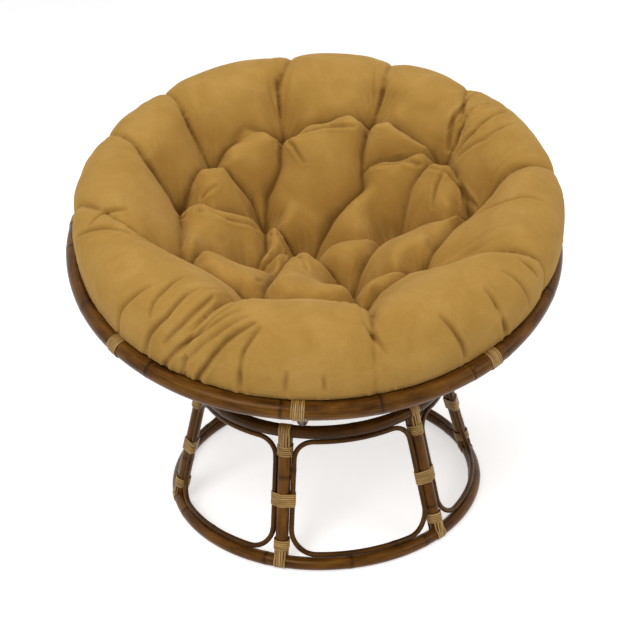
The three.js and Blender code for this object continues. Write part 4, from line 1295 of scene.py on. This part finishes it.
def draw_in(cover):
    """Pulls the cover down to the tufts and into the creases, where the swelling had lifted it. Returns how near each
    upper point lies to a crease or tuft, for the painted shade line there.
    """
    mesh = cover.data
    co = vertex_values(mesh, "co")
    normals = vertex_values(mesh, "normal")
    # 1 on the upper side, falling to 0 where the cover turns under
    upper = np.clip((normals[:, 2] + 0.5) / 0.3, 0, 1)
    drop = np.zeros(len(co))
    pinch = np.zeros(len(co))
    for start, end, start_pull, end_pull in zip(crease_starts, crease_ends, start_pulls, end_pulls):
        run = end - start
        share = np.clip(((co[:, :2] - start) * run).sum(1) / (run**2).sum(), 0, 1)
        gap = np.hypot(*(co[:, :2] - start - run * share[:, None]).T)
        pull = start_pull + (end_pull - start_pull) * share
        drop = np.maximum(drop, pull * bells(gap, CREASE_DRAW_WIDTH))
        pinch = np.maximum(pinch, pull * bells(gap, CREASE_PINCH_WIDTH))
    co[:, 2] -= (CREASE_DRAW * drop + CREASE_PINCH * pinch) * upper
    for tuft in all_tufts:
        away = np.hypot(co[:, 0] - tuft.x, co[:, 1] - tuft.y)
        over_tuft = (away < TUFT_FIND_REACH) & (normals[:, 2] > 0)
        if over_tuft.any():
            raised = co[over_tuft, 2].min() - tuft.z
            co[:, 2] -= max(raised, 0) * bells(away, TUFT_DRAW_WIDTH) * upper
            # Painted shade round each tuft, carried in the returned mark
            pinch = np.maximum(pinch, bells(away, 2 * CREASE_PINCH_WIDTH))
    set_coordinates(mesh, co)
    return pinch * upper


def press_folds(cover):
    """Lays each single fold along its line: a narrow groove with the slack pushed up beside it. Returns each point's
    share of the painted shade line in the groove.
    """
    mesh = cover.data
    co = vertex_values(mesh, "co")
    normals = averaged(mesh, vertex_values(mesh, "normal"), 6)
    noise.seed_set(FOLD_WAVER_SEED)
    place = co + np.array([noise.noise_vector(Vector(c) * 20) for c in co]) * FOLD_WAVER
    push = np.zeros(len(co))
    tone = np.zeros(len(co))
    for depth, *stops in slack_folds:
        stops = [np.array(stop) * RIM_RADIUS / 1000 for stop in stops]
        gap = np.full(len(co), 1.0)
        along = np.zeros(len(co))
        lengths = [np.linalg.norm(b - a) for a, b in zip(stops, stops[1:])]
        done = 0.0
        for start, end, length in zip(stops, stops[1:], lengths):
            share = np.clip(((place - start) @ (end - start)) / length**2, 0, 1)
            off = place - start - np.outer(share, end - start)
            height = (off * normals).sum(1)
            here = np.linalg.norm(off - normals * height[:, None], axis=1)
            nearer = (here < gap) & (np.abs(height) < FOLD_FIND_HEIGHT)
            gap[nearer] = here[nearer]
            along[nearer] = (done + share[nearer] * length) / sum(lengths)
            done += length
        # A fold is deepest in its middle and runs out at its ends
        run_out = np.sqrt(np.clip(np.sin(math.pi * (0.06 + 0.88 * along)), 0, 1))
        strength = FOLD_PRESS * depth * MM * run_out
        ridge = FOLD_RIDGE_SHARE * bells(gap - FOLD_RIDGE_AWAY, FOLD_RIDGE_WIDTH)
        push += strength * (ridge - bells(gap, FOLD_WIDTH))
        # The painted shade line in the fold's groove
        tone = np.maximum(tone, bells(gap, FOLD_SHADE_LINE_WIDTH) * np.clip(strength / FOLD_SHADE_LINE_DEPTH, 0, 1))
    set_coordinates(mesh, co + normals * push[:, None])
    return tone


def pucker(x, y, number, tuft):
    """The height of the small waves that stand round a tuft."""
    dx, dy = x - tuft.x, y - tuft.y
    away = math.hypot(dx, dy)
    if not 1 * MM < away < 3 * PUCKER_REACH:
        return 0.0
    wander = 1.3 * noise.noise(Vector((x * 14, y * 14, number * 3.7)))
    fade = min(away / PUCKER_START, 1) * bell(away, PUCKER_REACH)
    waves = 11 + number % 4
    return PUCKER_DEPTH * fade * math.sin(waves * math.atan2(dy, dx) + number + 2 * wander)


def gather(x, y, number, tuft, azimuth, spread, length, count):
    """The height of the gathers in one fan. Azimuth and spread are in degrees."""
    dx, dy = x - tuft.x, y - tuft.y
    away = math.hypot(dx, dy)
    if away < GATHER_START or away > 2 * length * MM:
        return 0.0
    turn = (math.degrees(math.atan2(dy, dx)) - azimuth + 180) % 360 - 180
    # The gathers wander by a few degrees and run in from 20 mm to 60 mm
    turn += 7 * noise.noise(Vector((x * 9, y * 9, number)))
    if abs(turn) >= spread:
        return 0.0
    ramp = min((away / MM - 20) / 40, 1) * bell(away / MM - 60, length)
    side = math.cos(math.pi / 2 * turn / spread)
    wave = 1.7 * (abs(math.sin(math.pi * count * turn / (2 * spread))) - 0.64)
    return GATHER_DEPTH * ramp * side * wave * (0.6 + 0.8 * noise.noise(Vector((x * 22, y * 22, 5.5))))


def dress_cover(cover):
    """Adds the seams' grooves, the gathers, puckers and folds, and gives each point's share of the painted shade
    lines along folds and creases and round tufts.
    """
    crease_shade_lines = draw_in(cover)
    mesh = cover.data
    co = vertex_values(mesh, "co")
    normals = vertex_values(mesh, "normal")
    tree = seam_tree()
    push = np.zeros(len(co))
    for i, (x, y, z) in enumerate(co):
        # The underside stays plain
        if normals[i][2] < -0.3:
            continue
        if math.hypot(x - CUSHION_MIDDLE.x, y - CUSHION_MIDDLE.y) > SEAM_GROOVE_START:
            _, _, gap = tree.find((x, y, 0))
            waver = 1 + 0.35 * noise.noise(Vector((x, y, z)) * 60)
            push[i] -= SEAM_GROOVE_DEPTH * bell(gap, SEAM_GROOVE_WIDTH) * waver
        for number, tuft in enumerate(all_tufts):
            push[i] += pucker(x, y, number, tuft)
        for number, (tuft_name, *fan) in enumerate(gather_fans):
            push[i] += gather(x, y, number, tufts[tuft_name], *fan)
    set_coordinates(mesh, co + normals * push[:, None])
    fold_shade_lines = press_folds(cover)
    keep_clear(cover)
    return np.maximum(FOLD_LINE_SHADE * fold_shade_lines, CREASE_LINE_SHADE * crease_shade_lines)


# The edge lies down on the rim where it comes this near, and the cover keeps this far off the rim's bindings
SETTLE_REACH = 9 * MM
RIM_REST_RADIUS = RIM_POLE_RADIUS + STRIP_THICKNESS + 1.5 * MM


def keep_clear(cover):
    """Moves points off the frame where swelling brought them too close, and lays the edge down on the rim."""
    mesh = cover.data
    co = vertex_values(mesh, "co")
    normals = vertex_values(mesh, "normal")
    under_polars = [math.radians(polar) for polar, radius in under_rows][::-1]
    under_radii = [radius for polar, radius in under_rows][::-1]
    for i, (x, y, z) in enumerate(co):
        from_centre = Vector((x, y, z - SPHERE_RISE))
        reach = math.hypot(x, y)
        limit = float(np.interp(math.atan2(reach, SPHERE_RISE - z), under_polars, under_radii))
        if z < 0 and from_centre.length > limit:
            co[i] = Vector((0, 0, SPHERE_RISE)) + from_centre.normalized() * limit
        across = reach - RIM_RADIUS
        gap = math.hypot(across, z)
        away = Vector((x / reach * across, y / reach * across, z)) / max(gap, 1e-6)
        over_rim = gap < RIM_REST_RADIUS + SETTLE_REACH and away.dot(Vector(normals[i])) < -0.4
        if gap < RIM_REST_RADIUS or over_rim:
            scale = RIM_REST_RADIUS / max(gap, 1e-6)
            new_reach = RIM_RADIUS + across * scale
            co[i] = (x * new_reach / reach, y * new_reach / reach, z * scale)
    set_coordinates(mesh, co)


# Surroundings of this many rounds reach about 25 mm, and a point this far under them lies in the fullest shade
FOLD_SHADE_ROUNDS = 45
FOLD_SHADE_DEPTH = 7 * MM
FOLD_SHADE = 0.85
FOLD_SHADE_POWER = 1.3


def mark_folds(cover, fold_shade_lines):
    """Painted crease shade: a darker tone by how far a point lies under its wider surroundings, joined with the
    painted shade lines.
    """
    mesh = cover.data
    co = vertex_values(mesh, "co")
    soft = averaged(mesh, co, FOLD_SHADE_ROUNDS)
    depth = ((soft - co) * vertex_values(mesh, "normal")).sum(1)
    fold = np.clip(depth / FOLD_SHADE_DEPTH, 0, 1) ** FOLD_SHADE_POWER
    # The fold attribute carries the painted shade that darkens the cushion's colour
    layer = mesh.attributes.new("fold", "FLOAT", "POINT")
    layer.data.foreach_set("value", np.maximum(FOLD_SHADE * fold, fold_shade_lines).astype(np.float32))


cover = make_cushion()
mark_folds(cover, dress_cover(cover))
cover.data.transform(DISH_PLACE)
cover.data.shade_smooth()
cover.data.materials.clear()
cover.data.materials.append(microsuede)
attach(cover, "cushion")
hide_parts("cushion")

# The knot of the middle tuft's thread: a short coil between its two ends, in mm from the tuft
THREAD_RADIUS = 0.9 * MM
COIL_RADIUS = 2.5 * MM
COIL_LENGTH = 9 * MM
COIL_HEIGHT = 3 * MM
knot_route = [Vector((-13 * MM, -6 * MM, 7 * MM))]
for i in range(31):
    along = COIL_LENGTH * (i / 30 - 0.5)
    turn = i * 0.9
    knot_route.append(Vector((along + COIL_RADIUS * math.cos(turn), COIL_RADIUS * math.sin(turn), COIL_HEIGHT)))
knot_route.append(Vector((12 * MM, -7 * MM, 8 * MM)))
knot_route = [middle_tuft + p for p in knot_route]
points, faces, _ = pole_shape(knot_route, THREAD_RADIUS, 97, 8, knuckles=False, step=1 * MM)
new_piece("tuft_thread", [DISH_PLACE @ p for p in points], faces, "cushion", thread_finish, {})

# Floor, backdrop, lights and camera

FLOOR_COLOUR = "f4f4f4"
FLOOR_GLOW = 0.56
WORLD_LEVEL = 0.42


def seen_level(tree, unseen, seen):
    """A strength for what the camera sees, itself or in a reflection or through glass, and one for the rest."""
    path = add(tree, "ShaderNodeLightPath")
    rays = path.outputs["Is Camera Ray"]
    for ray in ("Is Glossy Ray", "Is Transmission Ray"):
        rays = add(tree, "ShaderNodeMath", {0: rays, 1: path.outputs[ray]}, operation="MAXIMUM").outputs[0]
    return add(tree, "ShaderNodeMapRange", {"Value": rays, "To Min": unseen, "To Max": seen}).outputs[0]


def pale_floor():
    """Matte white studio sweep. The camera sees plain white where no shadow falls on it."""
    finish = {"Base Color": linear(FLOOR_COLOUR), "Roughness": 0.9, "Specular IOR Level": 0.1}
    material, tree, shader = new_material("matte_studio_sweep", finish)
    glow = add(tree, "ShaderNodeEmission", {"Strength": seen_level(tree, 0.0, FLOOR_GLOW)})
    both = add(tree, "ShaderNodeAddShader", {0: shader.outputs[0], 1: glow.outputs[0]})
    tree.links.new(both.outputs[0], tree.nodes["Material Output"].inputs["Surface"])
    return material


bpy.ops.mesh.primitive_plane_add(size=60, location=(0, 0, -0.0006))
floor = bpy.context.object
floor.name = "studio_floor"
floor.data.materials.append(pale_floor())

world = bpy.data.worlds.new("studio_world")
world.use_nodes = True
bpy.context.scene.world = world
background = world.node_tree.nodes["Background"]
background.inputs["Color"].default_value = (1, 1, 1, 1)
world.node_tree.links.new(seen_level(world.node_tree, WORLD_LEVEL, 1.0), background.inputs["Strength"])


def soft_box(name, place, aim, width, height, power):
    light = bpy.data.lights.new(name, "AREA")
    light.shape = "RECTANGLE"
    light.size = width
    light.size_y = height
    light.energy = power
    lamp = bpy.data.objects.new(name, light)
    bpy.context.scene.collection.objects.link(lamp)
    lamp.location = place
    lamp.rotation_euler = (Vector(aim) - Vector(place)).to_track_quat("-Z", "Y").to_euler()


SEAT_MIDDLE = (0, 0, 0.55)
soft_box("key_soft_box", (-1.5, -2.4, 2.9), SEAT_MIDDLE, 1.6, 1.6, 54)
soft_box("fill_soft_box", (2.6, -1.6, 1.8), SEAT_MIDDLE, 1.8, 1.8, 18)
soft_box("top_soft_box", (0.2, 0.9, 3.4), SEAT_MIDDLE, 2.0, 1.4, 26)

CAMERA_PLACE = STAND_AXIS + Vector((-0.16504, -2.31093, 1.59999))
CAMERA_FORWARD = Vector((0.06316, 0.88680, -0.45782))
CAMERA_RIGHT = Vector((0.99547, -0.08865, -0.03439))
IMAGE_SIDE = 640
FOCAL_PIXELS = 1193.7
SENSOR_SIDE = 36.0

camera_data = bpy.data.cameras.new("photo_camera")
camera_data.sensor_width = SENSOR_SIDE
camera_data.lens = FOCAL_PIXELS * SENSOR_SIDE / IMAGE_SIDE
camera = bpy.data.objects.new("photo_camera", camera_data)
bpy.context.scene.collection.objects.link(camera)
right = (CAMERA_RIGHT - CAMERA_FORWARD * CAMERA_RIGHT.dot(CAMERA_FORWARD)).normalized()
camera.matrix_world = Matrix.Translation(CAMERA_PLACE) @ Matrix(
    (right, right.cross(CAMERA_FORWARD), -CAMERA_FORWARD)
).transposed().to_4x4()
bpy.context.scene.camera = camera
bpy.context.scene.view_settings.view_transform = "Standard"
